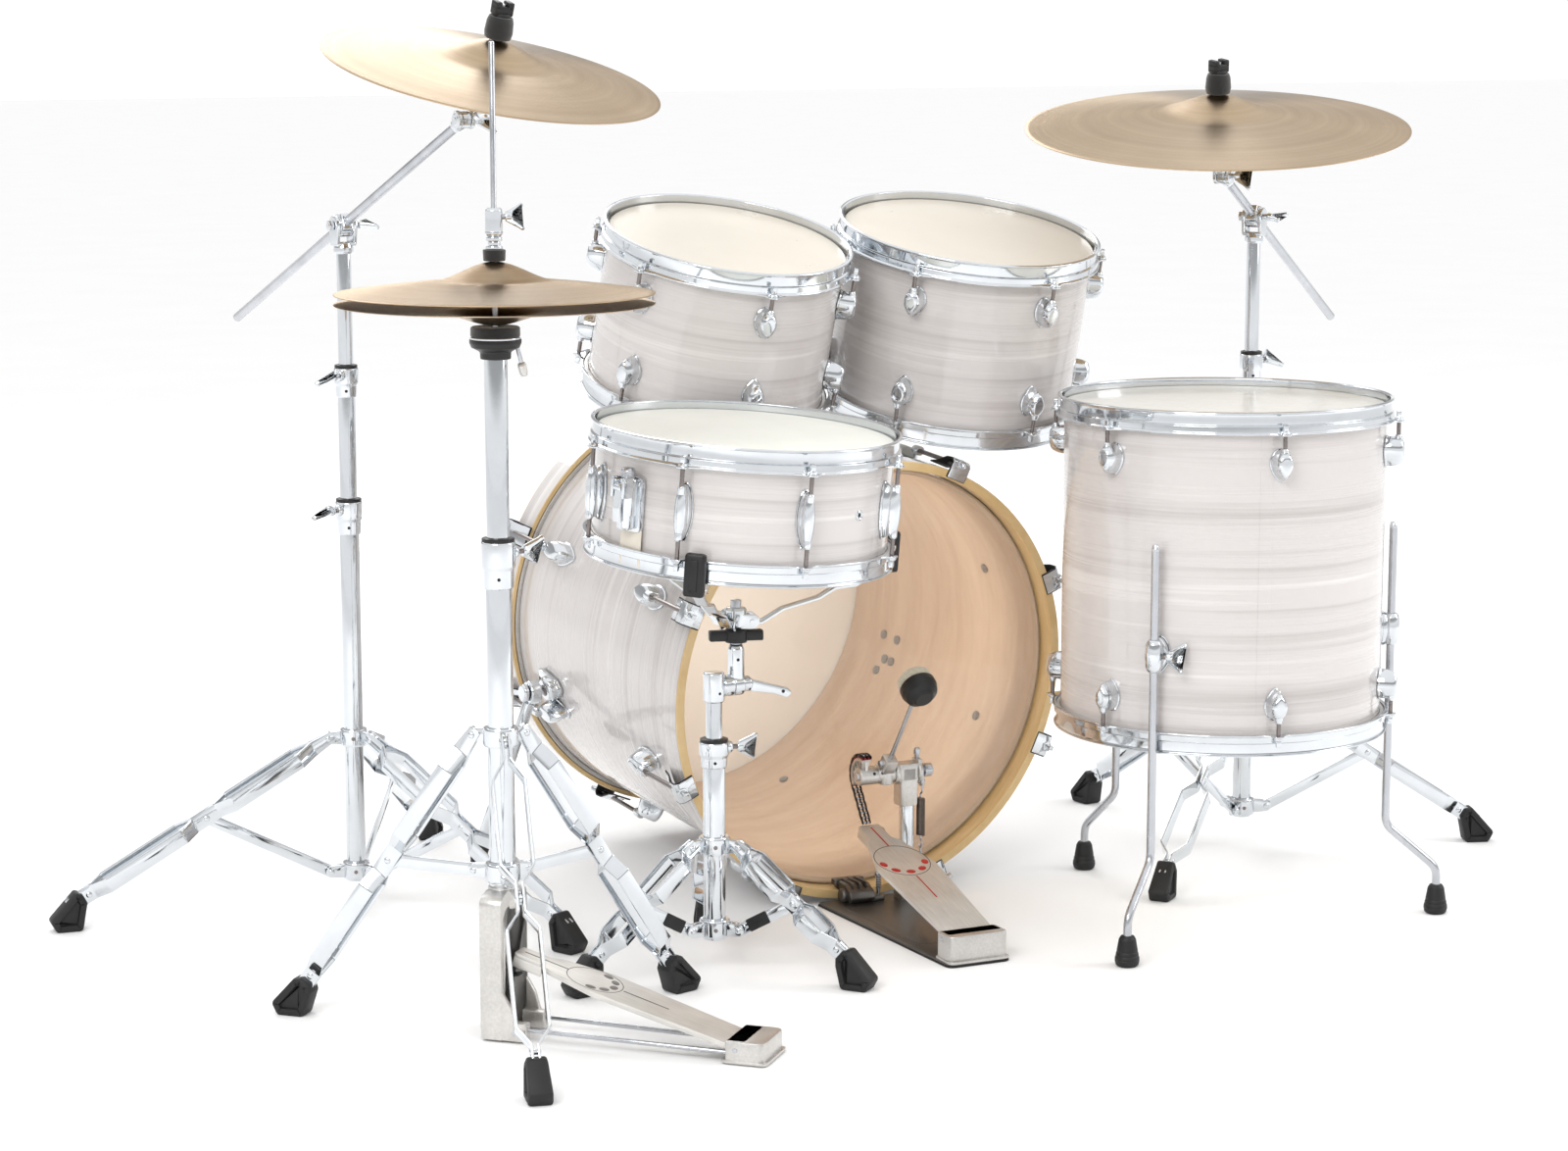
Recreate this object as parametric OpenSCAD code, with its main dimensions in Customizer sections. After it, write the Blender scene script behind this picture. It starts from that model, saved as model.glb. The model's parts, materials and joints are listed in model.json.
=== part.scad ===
// Five-piece acoustic drum kit with hardware, cymbals and pedals.
// +Y runs along the bass drum from the player to the audience, +X is the player's right, +Z is up.
// The origin is on the floor, at the middle of the whole kit's footprint.

/* [Drums] */
// Bass drum shell radius
bass_r = 279.4; // [278:0.1:281]
// Bass drum length over both hoop faces
bass_len = 507; // [500:1:515]
// Upward pitch of the bass drum's axis, degrees
bass_pitch = 5; // [4:0.5:6]
// Smaller rack tom shell radius (12 in)
tom_left_r = 152.4; // [150:0.1:153]
// Larger rack tom shell radius (13 in)
tom_right_r = 165.1; // [163:0.1:166]
// Floor tom shell radius (16 in)
floor_r = 203.2; // [202:0.1:204]
// Snare drum shell radius (14 in)
snare_r = 177.8; // [176:0.1:179]
// Shell wall thickness
shell_t = 7.5; // [6:0.5:8]

/* [Cymbals] */
// Crash radius (16 in)
crash_r = 203.2; // [195:0.1:206]
// Ride radius (20 in)
ride_r = 254; // [245:0.1:256]
// Hi-hat radius (14 in)
hat_r = 177.8; // [172:0.1:179]
// Cymbal thickness
cymbal_t = 1.6; // [1.4:0.1:2]

/* [Stands] */
// Radius of the lowest tube of the cymbal stands
base_tube_r = 12.7; // [12.6:0.1:13]
// Radius of the middle tube
mid_tube_r = 11; // [10.8:0.1:11.1]
// Radius of the upper tube
top_tube_r = 9.4; // [9.2:0.1:9.4]
// Width of a tripod strip
strip_w = 20; // [18:1:22]
// Thickness of a tripod strip
strip_t = 2.6; // [2.4:0.1:3]

/* [Hidden] */
$fn = 96;
inch = 25.4;
gap = 0.3;        // clearance between pieces that do not move on each other
run = 0.05;       // radial running clearance of pins and tubes

// Where the origin lies, seen from the floor point under the bass drum's batter head
origin_shift = [16.9, -49.0, 0];

chrome = [0.80, 0.82, 0.84];
pearl = [0.80, 0.78, 0.77];
film = [0.90, 0.87, 0.80];
bronze = [0.78, 0.66, 0.47];
black = [0.10, 0.10, 0.10];
alloy = [0.66, 0.66, 0.65];
maple = [0.85, 0.72, 0.50];

// Drum placements: centre, tilt from upright, heading that the tilted top leans to
bass_pos = [0, 0, 294];
tom_left_pos = [-164, 124, 768];
tom_left_tilt = 15.8;
tom_right_pos = [192, 101, 752];
tom_right_tilt = 13.7;
floor_pos = [350, -276, 464];
snare_pos = [-308, -192, 589];
snare_tilt = 4.5;
snare_heading = -58;
tom_left_half = 4 * inch;
tom_right_half = 4.5 * inch;
floor_half = 8 * inch - 1.5;
snare_half = 2.75 * inch;
tom_left_first = 21.7;
tom_right_first = 35.7;
floor_first = 11.5;
snare_first = 38.2;

// Metal drum hoops, measured from the shell's outside and from the bearing edge
rim_up = 11;
rim_down = 17;
flange_out = 9;
rod_out = 16;
ear_r = 6.5;
rod_r = 2.6;
lug_depth = 24;

// Bass drum hoops
bass_hoop_r = 293;
bass_hoop_w = 40;
bass_edge = 25;
bass_lugs_n = 8;
bass_rod_r = 303.5;

// Stands: foot of each stand's axis
crash_pos = [-584, 341, 0];
ride_pos = [616, 10, 0];
hat_pos = [-681, -290, 0];
snare_stand_pos = [-343, -183, 0];
tripod_arm = 34;           // distance from a stand's axis to its leg pivots
pin_r = 3;
foot_entry_z = 40;         // height at which a tripod leg enters its rubber foot
foot_back = 15;            // that entry's distance inside the foot's middle

crash_top = [-568, 17, 1027];      // tilter pivots
crash_clamp_z = 886;
crash_centre = [-542.5, -16, 1104];
crash_tilt = 15.7;
crash_heading = -75.2;
crash_tail = 323.7;                  // boom's reach behind the stand, level
ride_top = [514, -51, 938];
ride_clamp_z = 878;
ride_centre = [496.2, -58.9, 1027.6];
ride_tilt = 10.2;
ride_heading = -126;
ride_tail = 318;

// Hi-hat
hat_edge_z = 847;          // edge of the top cymbal
hat_gap = 12;
hat_tube_r = 15;
hat_upper_r = 13;
hat_rod_r = 3.2;
hat_heel_dir = -49.4;

// Bass pedal: its own frame, +x to the heel
kick_pos = [-20, 20, 0];
kick_dir = -95;
kick_axle = [33, 0, 175];
kick_beater_v = 30;
kick_post_v = 63;
kick_toe = [46, 0, 111];
kick_heel = [325, 0, 32];

// ---------- helpers ----------
module kit() translate(origin_shift) children();

module tilted(pos, tilt, heading)
    translate(pos) rotate([0, 0, heading]) rotate([0, tilt, 0]) rotate([0, 0, -heading]) children();

module bar(a, b, r) {
    v = b - a;
    translate(a) rotate([0, acos(v[2] / norm(v)), atan2(v[1], v[0])]) cylinder(h = norm(v), r = r);
}

module spoke(angle) rotate([0, 0, angle]) children();

module pipe(ro, ri, z0, z1) translate([0, 0, z0]) difference() {
    cylinder(h = z1 - z0, r = ro);
    translate([0, 0, -1]) cylinder(h = z1 - z0 + 2, r = ri);
}

// Wing bolt whose shank points along +x, its tip at the origin
module wing_bolt(reach) {
    rotate([0, 90, 0]) cylinder(h = reach, r = 4);
    translate([reach - 2, -3, -9]) cube([6, 6, 26]);
}

// ---------- drums ----------
module in_bass() translate(bass_pos) rotate([bass_pitch - 90, 0, 0]) children();
module in_tom_left() kit() tilted(tom_left_pos, tom_left_tilt, -85) children();
module in_tom_right() kit() tilted(tom_right_pos, tom_right_tilt, -90) children();
module in_floor() kit() translate(floor_pos) children();
module in_snare() kit() tilted(snare_pos, snare_tilt, snare_heading) children();

module shell(r, half) pipe(r, r - shell_t, -half + gap, half - gap);

// One metal hoop with its ears, its bearing edge at z = 0
module metal_hoop(r, first, n) difference() {
    union() {
        rotate_extrude() polygon([
            [r + 6, -rim_down], [r + flange_out, -rim_down], [r + flange_out, -rim_down + 2.3],
            [r + 8.3, -rim_down + 2.3], [r + 8.3, -5.7], [r + 5, -5.7], [r + 5, rim_up - 2.3],
            [r + 8.5, rim_up - 2.3], [r + 8.5, rim_up], [r + 2.7, rim_up], [r + 2.7, -8], [r + 6, -8]]);
        for (i = [0 : n - 1]) spoke(first + i * 360 / n) {
            translate([r + 7, -ear_r + 0.6, -rim_down + 0.3]) cube([rod_out - 7, 2 * ear_r - 1.2, 1.7]);
            translate([r + rod_out, 0, -rim_down + 0.1]) cylinder(h = 2.1, r = ear_r);
        }
    }
    for (i = [0 : n - 1]) spoke(first + i * 360 / n) translate([r + rod_out, 0, -rim_down - 1])
        cylinder(h = 5, r = rod_r + 0.6);
}

module hoop_pair(r, half, first, n) {
    translate([0, 0, half]) metal_hoop(r, first, n);
    translate([0, 0, -half]) mirror([0, 0, 1]) metal_hoop(r, first, n);
}

// Film, collar and flesh hoop turned as one
module head(r, over, flesh) rotate_extrude() polygon([
    [0, 0], [0, 0.5], [r + 0.7, 0.5], [r + 0.7, over], [r + flesh, over],
    [r + flesh, over - 7.5], [r + 0.2, over - 7.5], [r + 0.2, 0]]);

module head_pair(r, half) {
    translate([0, 0, half]) head(r, -8.3, 5.7);
    translate([0, 0, -half]) mirror([0, 0, 1]) head(r, -8.3, 5.7);
}

// Lug post and barrel with its tension rod; the shell's outside is at x = 0, the hoop above
module lug_and_rod(lug_z, hoop_z) {
    translate([gap, 0, lug_z]) rotate([0, 90, 0]) cylinder(h = rod_out, r = 9);
    translate([rod_out, 0, lug_z - 16]) cylinder(h = 32, r = lug_depth - rod_out);
    translate([rod_out, 0, lug_z]) cylinder(h = hoop_z - lug_z + 5, r = rod_r);
    translate([rod_out, 0, hoop_z + 0.4]) cylinder(h = 3, r = 5.5);
    translate([rod_out, 0, hoop_z + 3]) cylinder(h = 9, r = 3.6);
}

module lug_ring(r, half, first, n, inset) for (i = [0 : n - 1]) spoke(first + i * 360 / n)
    translate([r, 0, 0]) {
        lug_and_rod(half - inset, half - rim_down + 2.3);
        mirror([0, 0, 1]) lug_and_rod(half - inset, half - rim_down + 2.3);
    }

module bass_shell() color(pearl) kit() in_bass()
    pipe(bass_r, bass_r - shell_t, bass_edge + 0.1, bass_len - bass_edge - 0.1);

module bass_hoop() rotate_extrude() polygon([
    [bass_hoop_r - 12, 0], [bass_hoop_r, 0], [bass_hoop_r, bass_hoop_w],
    [bass_hoop_r - 6.6, bass_hoop_w], [bass_hoop_r - 6.6, bass_edge + 8], [bass_hoop_r - 12, bass_edge + 8]]);

module bass_hoops() color(maple) kit() in_bass() {
    bass_hoop();
    translate([0, 0, bass_len]) mirror([0, 0, 1]) bass_hoop();
}

module bass_head() translate([0, 0, bass_edge - 0.5]) mirror([0, 0, 1]) translate([0, 0, -0.5])
    head(bass_r, -8.9, 6.5);

module bass_heads() color(film) kit() in_bass() {
    bass_head();
    translate([0, 0, bass_len]) mirror([0, 0, 1]) bass_head();
}

module bass_lug_end() for (i = [0 : bass_lugs_n - 1]) spoke(22.5 + i * 45) {
    translate([bass_r + gap, 0, 125]) rotate([0, 90, 0]) cylinder(h = bass_rod_r - bass_r, r = 15);
    translate([bass_rod_r, 0, 98]) cylinder(h = 54, r = 9.5);
    translate([bass_rod_r, 0, -8]) cylinder(h = 120, r = 3);
    translate([bass_rod_r, 0, -11]) cylinder(h = 5.6, r = 5.5);
}

module bass_lugs() color(chrome) kit() in_bass() {
    bass_lug_end();
    translate([0, 0, bass_len]) mirror([0, 0, 1]) bass_lug_end();
}

module bass_claw_end() for (i = [0 : bass_lugs_n - 1]) spoke(22.5 + i * 45) difference() {
    rotate([90, 0, 0]) translate([0, 0, -15]) linear_extrude(30) polygon([
        [284, -5], [311, -5], [311, 12], [299, 46], [293.9, 46], [293.9, -0.4], [284, -0.4]]);
    translate([bass_rod_r, 0, -8]) cylinder(h = 60, r = 3.6);
}

module bass_claws() color(chrome) kit() in_bass() {
    bass_claw_end();
    translate([0, 0, bass_len]) mirror([0, 0, 1]) bass_claw_end();
}

module tom_left_shell() color(pearl) in_tom_left() shell(tom_left_r, tom_left_half);
module tom_left_hoops() color(chrome) in_tom_left() hoop_pair(tom_left_r, tom_left_half, tom_left_first, 6);
module tom_left_heads() color(film) in_tom_left() head_pair(tom_left_r, tom_left_half);
module tom_left_lugs() color(chrome) in_tom_left()
    lug_ring(tom_left_r, tom_left_half, tom_left_first, 6, 52);

module tom_right_shell() color(pearl) in_tom_right() shell(tom_right_r, tom_right_half);
module tom_right_hoops() color(chrome) in_tom_right()
    hoop_pair(tom_right_r, tom_right_half, tom_right_first, 6);
module tom_right_heads() color(film) in_tom_right() head_pair(tom_right_r, tom_right_half);
module tom_right_lugs() color(chrome) in_tom_right()
    lug_ring(tom_right_r, tom_right_half, tom_right_first, 6, 52);

module floor_tom_shell() color(pearl) in_floor() shell(floor_r, floor_half);
module floor_tom_hoops() color(chrome) in_floor() hoop_pair(floor_r, floor_half, floor_first, 6);
module floor_tom_heads() color(film) in_floor() head_pair(floor_r, floor_half);
module floor_tom_lugs() color(chrome) in_floor() lug_ring(floor_r, floor_half, floor_first, 6, 52);

module snare_shell() color(pearl) in_snare() shell(snare_r, snare_half);
module snare_hoops() color(chrome) in_snare() hoop_pair(snare_r, snare_half, snare_first, 8);
module snare_heads() color(film) in_snare() head_pair(snare_r, snare_half);

// Double-ended snare lugs: two posts and one tube between both rods
module snare_lugs() color(chrome) in_snare() for (i = [0 : 7]) spoke(snare_first + i * 45)
    translate([snare_r, 0, 0]) {
        for (z = [-17, 17]) translate([gap, 0, z]) rotate([0, 90, 0]) cylinder(h = rod_out, r = 6);
        translate([rod_out, 0, -30]) cylinder(h = 60, r = 6.5);
        for (s = [0, 1]) mirror([0, 0, s]) {
            translate([rod_out, 0, 0]) cylinder(h = snare_half - rim_down + 7, r = rod_r);
            translate([rod_out, 0, snare_half - rim_down + 2.7]) cylinder(h = 3, r = 5.5);
            translate([rod_out, 0, snare_half - rim_down + 5]) cylinder(h = 9, r = 3.6);
        }
    }

// Strainer body on the left front, butt plate opposite, wires under the lower head
strainer_at = 195.7;
lever_pin = [snare_r + 27, 0, 20];

module snare_strainer() color(chrome) in_snare() {
    difference() {
        spoke(strainer_at) union() {
            translate([snare_r + 0.8, -17, -34]) cube([10, 34, 66]);
            translate([snare_r + 8, -11, -14]) cube([14, 22, 46]);
            translate([snare_r + 15, 0, 30]) cylinder(h = 12, r = 8.5);
            for (y = [-11, 7]) translate([snare_r + 15, y, 8]) cube([17, 4, 24]);
        }
        spoke(strainer_at) translate(lever_pin + [0, 20, 0]) rotate([90, 0, 0]) cylinder(h = 40, r = 2.6);
        spoke(strainer_at) translate([snare_r + 20, -7, 6]) cube([16, 14, 30]);
    }
    spoke(strainer_at + 180) {
        translate([snare_r + 0.8, -16, -30]) cube([9, 32, 46]);
        translate([snare_r + 8, -9, -26]) cube([9, 18, 30]);
    }
    spoke(strainer_at) translate([-150, -21, -snare_half - 2.6]) cube([300, 42, 1.8]);
}

module snare_lever() color(chrome) in_snare() spoke(strainer_at) {
    translate(lever_pin + [0, 10.5, 0]) rotate([90, 0, 0]) cylinder(h = 21, r = 2.55);
    translate(lever_pin + [-4, -6, -44]) cube([8, 12, 49]);
}

// ---------- brackets, spurs and legs of the drums ----------
leg_angles = [-29.5, 90.5, 210.5];
leg_r = 5.25;
leg_ring = 218.5;
leg_top = 513;
leg_bend = 113;
leg_foot_ring = 287;
leg_bracket_z = 375;
spur_angle = 15;           // below the horizontal
spur_z = 372;              // along the bass drum
spur_pin_r = 5;

module leg_bracket() translate([leg_ring, 0, leg_bracket_z - floor_pos[2]]) difference() {
    union() {
        translate([floor_r - leg_ring + 0.9, -15, -20]) cube([13, 30, 40]);
        translate([-2, 0, -20]) cylinder(h = 40, r = 12);
        translate([0, 9, 0]) rotate([0, 0, 90]) wing_bolt(26);
    }
    translate([0, 0, -30]) cylinder(h = 60, r = leg_r + run);
}

// The pivot of a spur, on the left (s = -1) or the right (s = 1)
function spur_pivot(s) = [s * 297.6, 377.4, 248.8];

module spur_bracket(s) {
    in_bass() spoke(s > 0 ? spur_angle : 180 - spur_angle) translate([bass_r + 0.8, 0, spur_z])
        rotate([0, 90, 0]) cylinder(h = 18, r = 21);
    translate(spur_pivot(s) - [s * 9, 0, 0]) rotate([0, s * 90, 0]) cylinder(h = 27, r = spur_pin_r);
    translate(spur_pivot(s) + [s * 16.4, 0, 0]) rotate([0, s * 90, 0]) cylinder(h = 6, r = 11);
}

module drum_leg_brackets() color(chrome) {
    in_floor() for (a = leg_angles) spoke(a) leg_bracket();
    kit() for (s = [-1, 1]) spur_bracket(s);
}

module spur(s) {
    p = spur_pivot(s) + [s * 8, 0, 0];
    tip = [s * 352, 452, 16];
    difference() {
        union() {
            translate(p - [s * 7.5, 0, 0]) rotate([0, s * 90, 0]) cylinder(h = 15, r = 16);
            bar(p, tip, 8);
            bar(p + (tip - p) * 0.86, tip, 12);
        }
        translate(p - [30, 0, 0]) rotate([0, 90, 0]) cylinder(h = 60, r = spur_pin_r + run);
        translate(p + [s * 7.5, -40, -40] - [s > 0 ? 0 : 30, 0, 0]) translate([0, 0, 20]) cube([30, 80, 60]);
    }
    translate(tip - [0, 0, 16]) cylinder(h = 18, r = 12.5);
}

module spur_left() color(chrome) kit() spur(-1);
module spur_right() color(chrome) kit() spur(1);

module floor_leg(a) in_floor() spoke(a) translate([0, 0, -floor_pos[2]]) {
    top = [leg_ring, 0, leg_top];
    bend = [leg_ring, 0, leg_bend];
    knee = [leg_foot_ring, 0, 56];
    bar(bend, top, leg_r);
    translate(bend) sphere(r = leg_r);
    bar(bend, knee, leg_r);
    translate(knee) sphere(r = leg_r);
    bar([leg_foot_ring, 0, 30], knee, leg_r);
    translate([leg_foot_ring, 0, 0]) cylinder(h = 38, r = 15.5);
}

module floor_leg_1() color(chrome) floor_leg(leg_angles[0]);
module floor_leg_2() color(chrome) floor_leg(leg_angles[1]);
module floor_leg_3() color(chrome) floor_leg(leg_angles[2]);

// ---------- tom holder ----------
holder_base = [8, 262, 597];
holder_ball = [[-26, 276, 705], [44, 276, 700]];
ball_r = 14;
tom_arm_out = 27;          // tom arm's distance from the shell
tom_left_arm_at = 51.7;
tom_right_arm_at = 125.7;
tom_arm_low = -75;

module tom_holder() color(chrome) kit() {
    in_bass() translate([holder_base[0], -bass_r - 0.8, holder_base[1]]) rotate([90, 0, 0])
        cylinder(h = 16, r = 34);
    translate(holder_base + [0, 0, 10]) cylinder(h = 60, r = 21);
    translate([holder_ball[0][0] - 13, holder_ball[0][1] - 13, 656]) cube([96, 25, 11]);
    for (b = holder_ball) {
        translate([b[0], b[1], 660]) cylinder(h = b[2] - 24 - 660, r = 8);
        translate(b) rotate_extrude() polygon(concat(
            [[0, -ball_r - 0.5], [0, -30], [17, -30], [17, -3]],
            [for (a = [-12 : -13 : -64]) (ball_r + gap) * [cos(a), sin(a)]], [[3, -ball_r - 0.5]]));
    }
}

// Bracket on the shell with the arm that runs through it, down to the holder's ball
module tom_bracket(r, at) spoke(at) translate([r, 0, 0]) {
    translate([0.8, -17, -25]) cube([12, 34, 50]);
    translate([tom_arm_out, 0, -24]) cylinder(h = 48, r = 13);
    translate([8, -9, -22]) cube([12, 18, 44]);
    translate([tom_arm_out, 0, tom_arm_low]) cylinder(h = 115, r = 6);
    translate([tom_arm_out, 0, tom_arm_low]) sphere(r = 7);
}

function leaned(p, tilt, heading) = let (
    c = cos(heading), s = sin(heading),
    x = p[0] * c + p[1] * s, y = -p[0] * s + p[1] * c,
    u = x * cos(tilt) + p[2] * sin(tilt), w = -x * sin(tilt) + p[2] * cos(tilt))
    [u * c - y * s, u * s + y * c, w];

function arm_end(pos, tilt, heading, r, at) = pos + leaned(
    [(r + tom_arm_out) * cos(at), (r + tom_arm_out) * sin(at), tom_arm_low], tilt, heading);

module tom_left_mount() color(chrome) {
    in_tom_left() tom_bracket(tom_left_r, tom_left_arm_at);
    kit() {
        bar(arm_end(tom_left_pos, tom_left_tilt, -85, tom_left_r, tom_left_arm_at), holder_ball[0], 6);
        translate(holder_ball[0]) sphere(r = ball_r);
    }
}

module tom_right_mount() color(chrome) {
    in_tom_right() tom_bracket(tom_right_r, tom_right_arm_at);
    kit() {
        bar(arm_end(tom_right_pos, tom_right_tilt, -90, tom_right_r, tom_right_arm_at), holder_ball[1], 6);
        translate(holder_ball[1]) sphere(r = ball_r);
    }
}

// ---------- tripod stands ----------
// A leg: two strips that spread between pinched joints, on three rivets; x runs down the leg
module leg_strips(len) {
    near = 2.4;
    far = 17;
    line = [[-7, near], [0.06 * len, near], [0.12 * len, far], [0.38 * len, far], [0.43 * len, near],
        [0.52 * len, near], [0.57 * len, far], [len - 56, far], [len - 37, near], [len, near]];
    for (s = [0, 1]) mirror([0, s, 0]) translate([0, 0, -strip_w / 2]) linear_extrude(strip_w)
        polygon(concat(line, [for (i = [len(line) - 1 : -1 : 0]) line[i] + [0, strip_t]]));
    for (x = [0, 0.475 * len, len - 8]) translate([x, near + strip_t, 0]) rotate([90, 0, 0])
        cylinder(h = 2 * (near + strip_t), r = pin_r);
}

function leg_length(foot_r, hub_z) = norm([foot_r - foot_back - tripod_arm, hub_z - foot_entry_z]) + 20;
function leg_slope(foot_r, hub_z) = atan2(hub_z - foot_entry_z, foot_r - foot_back - tripod_arm);

// Three legs and three braces; hub_z and brace_z are the pivots' heights
module legs(angles, foot_r, hub_z, brace_z) {
    len = leg_length(foot_r, hub_z);
    slope = leg_slope(foot_r, hub_z);
    mid = [tripod_arm + cos(slope) * 0.475 * len, 0, hub_z - sin(slope) * 0.475 * len];
    low = [tripod_arm, 0, brace_z];
    v = mid - low;
    for (a = angles) spoke(a) {
        translate([tripod_arm, 0, hub_z]) rotate([0, slope, 0]) leg_strips(len);
        translate(low) rotate([0, -atan2(v[2], v[0]), 0]) difference() {
            translate([-8, -2, -8]) cube([norm(v) + 16, 4, 16]);
            for (x = [0, norm(v)]) translate([x, 5, 0]) rotate([90, 0, 0])
                cylinder(h = 10, r = pin_r + run);
        }
    }
}

// Ring with three pairs of ears on the tube; double ears hold a brace, a single one a leg
module hub(tube_r, z, angles, double_ears) difference() {
    union() {
        translate([0, 0, z - 11]) cylinder(h = 22, r = tube_r + 5);
        for (a = angles) spoke(a) for (y = double_ears ? [-5.4, 2.4] : [-2])
            translate([0, y, z - 9]) cube([tripod_arm + 8, double_ears ? 3 : 4, 18]);
        if (double_ears) for (a = angles) spoke(a) translate([tripod_arm, 5.4, z]) rotate([90, 0, 0])
            cylinder(h = 10.8, r = pin_r);
    }
    if (!double_ears) for (a = angles) spoke(a) translate([tripod_arm, 5, z]) rotate([90, 0, 0])
        cylinder(h = 10, r = pin_r + run);
    translate([0, 0, z - 50]) cylinder(h = 100, r = tube_r - 0.5);
}

// Collar at the top of a tube, with its wing bolt
module collar(tube_r, inner_r, z0, z1, at) {
    pipe(tube_r + 4.2, inner_r + run, z0, z1);
    spoke(at) translate([inner_r + 3, 0, (z0 + z1) / 2 + 6]) wing_bolt(30);
}

crash_feet = [-70, 50, 170];
ride_feet = [-25.7, 94.3, 214.3];
snare_feet = [-176, -56, 64];
hat_feet = [11.5, 131.5, 251.5];

// foot ring, leg pivot height, brace pivot height
crash_legs = [373, 224, 47];
ride_legs = [333, 222, 57];
snare_legs = [187, 158, 55];
hat_legs = [262, 347, 190];

module stand_base(tube_r, inner_r, feet, dims, tube_top, collar_z, wing_at) {
    difference() {
        union() {
            pipe(tube_r, inner_r + run, dims[2] - 14, tube_top);
            hub(tube_r, dims[1], feet, false);
            hub(tube_r, dims[2], feet, true);
            collar(tube_r, inner_r, collar_z, tube_top, wing_at);
        }
        translate([0, 0, dims[2] - 20]) cylinder(h = tube_top, r = inner_r + run);
    }
    legs(feet, dims[0], dims[1], dims[2]);
}

crash_low_top = 537;
crash_mid_top = 709;
ride_low_top = 520;
ride_mid_top = 695;

module crash_tripod() color(chrome) kit() translate(crash_pos)
    stand_base(base_tube_r, mid_tube_r, crash_feet, crash_legs, crash_low_top, crash_low_top - 47, 200);
module ride_tripod() color(chrome) kit() translate(ride_pos)
    stand_base(base_tube_r, mid_tube_r, ride_feet, ride_legs, ride_low_top, ride_low_top - 47, 30);

module mid_tube(low_top, top) {
    difference() {
        union() {
            pipe(mid_tube_r, top_tube_r + run, low_top - 330, top);
            collar(mid_tube_r, top_tube_r, top - 42, top, 200);
        }
        translate([0, 0, low_top - 340]) cylinder(h = 500, r = top_tube_r + run);
    }
}

module crash_mid_tube() color(chrome) kit() translate(crash_pos) mid_tube(crash_low_top, crash_mid_top);
module ride_mid_tube() color(chrome) kit() translate(ride_pos) mid_tube(ride_low_top, ride_mid_top);

// Upper tube with the fork that the boom clamp turns in; the fork's axis is level, across the boom
fork_half = 9;
module upper_tube(mid_top, clamp_z, heading) {
    pipe(top_tube_r, top_tube_r - 1.5, mid_top - 230, clamp_z - 30);
    translate([0, 0, clamp_z - 34]) cylinder(h = 10, r = top_tube_r + 3);
    spoke(heading) difference() {
        translate([-11, -fork_half - 6, clamp_z - 26]) cube([22, 2 * fork_half + 12, 38]);
        translate([-20, -fork_half, clamp_z - 20]) cube([40, 2 * fork_half, 60]);
        translate([0, 40, clamp_z]) rotate([90, 0, 0]) cylinder(h = 80, r = 4 + run);
    }
}

function heading_of(a, b) = atan2(b[1] - a[1], b[0] - a[0]);
function rise(a, b) = (b[2] - a[2]) / norm([b[0] - a[0], b[1] - a[1]]);
crash_clamp = [crash_pos[0], crash_pos[1], crash_clamp_z];
ride_clamp = [ride_pos[0], ride_pos[1], ride_clamp_z];
boom_r = 6;

module crash_upper_tube() color(chrome) kit() translate(crash_pos)
    upper_tube(crash_mid_top, crash_clamp_z, heading_of(crash_clamp, crash_top));
module ride_upper_tube() color(chrome) kit() translate(ride_pos)
    upper_tube(ride_mid_top, ride_clamp_z, heading_of(ride_clamp, ride_top));

// Boom rod with its clamp block; x runs level towards the cymbal
module boom(clamp, top, tail) translate(clamp) spoke(heading_of(clamp, top)) {
    m = rise(clamp, top);
    reach = norm([top[0] - clamp[0], top[1] - clamp[1]]);
    difference() {
        union() {
            bar([-tail, 0, -tail * m], [reach - 5, 0, (reach - 5) * m], boom_r);
            rotate([90, 0, 0]) translate([0, 0, -fork_half + 0.4]) cylinder(h = 2 * fork_half - 0.8, r = 14.6);
            rotate([90, 0, 0]) translate([0, 0, -fork_half - 14]) cylinder(h = 2 * fork_half + 28, r = 4);
            translate([-4, fork_half + 8, -4]) cube([8, 6, 30]);
            translate([reach, 5.6, reach * m]) rotate([90, 0, 0]) cylinder(h = 11.2, r = 10);
        }
        translate([reach, 20, reach * m]) rotate([90, 0, 0]) cylinder(h = 40, r = 3 + run);
    }
}

module crash_boom() color(chrome) kit() boom(crash_clamp, crash_top, crash_tail);
module ride_boom() color(chrome) kit() boom(ride_clamp, ride_top, ride_tail);

// Tilter: fork on the boom's end, cymbal rod, seat and the wing nut above the cymbal
post_r = 4;
module tilter(top, centre, clamp, tilt, heading) {
    translate(top) spoke(heading_of(clamp, top)) {
        for (y = [-11.4, 6.4]) translate([-8, y, -8]) cube([16, 5, 26]);
        rotate([90, 0, 0]) translate([0, 0, -20]) cylinder(h = 32, r = 3);
        translate([-4, 16, -22]) cube([8, 5, 26]);
    }
    tilted(centre, tilt, heading) {
        axis_z = -norm(centre - top);
        translate([0, 0, axis_z + 13]) cylinder(h = 8, r = 13);
        translate([0, 0, axis_z + 16]) cylinder(h = 40 - axis_z, r = post_r);
        translate([0, 0, -18]) cylinder(h = 12, r = 17);
        translate([0, 0, 19.5]) cylinder(h = 27, r = 16.5);
        translate([0, 0, 46.5]) cylinder(h = 17.5, r = 12);
    }
}

module crash_tilter() color(chrome) kit() tilter(crash_top, crash_centre, crash_clamp, crash_tilt, crash_heading);
module ride_tilter() color(chrome) kit() tilter(ride_top, ride_centre, ride_clamp, ride_tilt, ride_heading);

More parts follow.
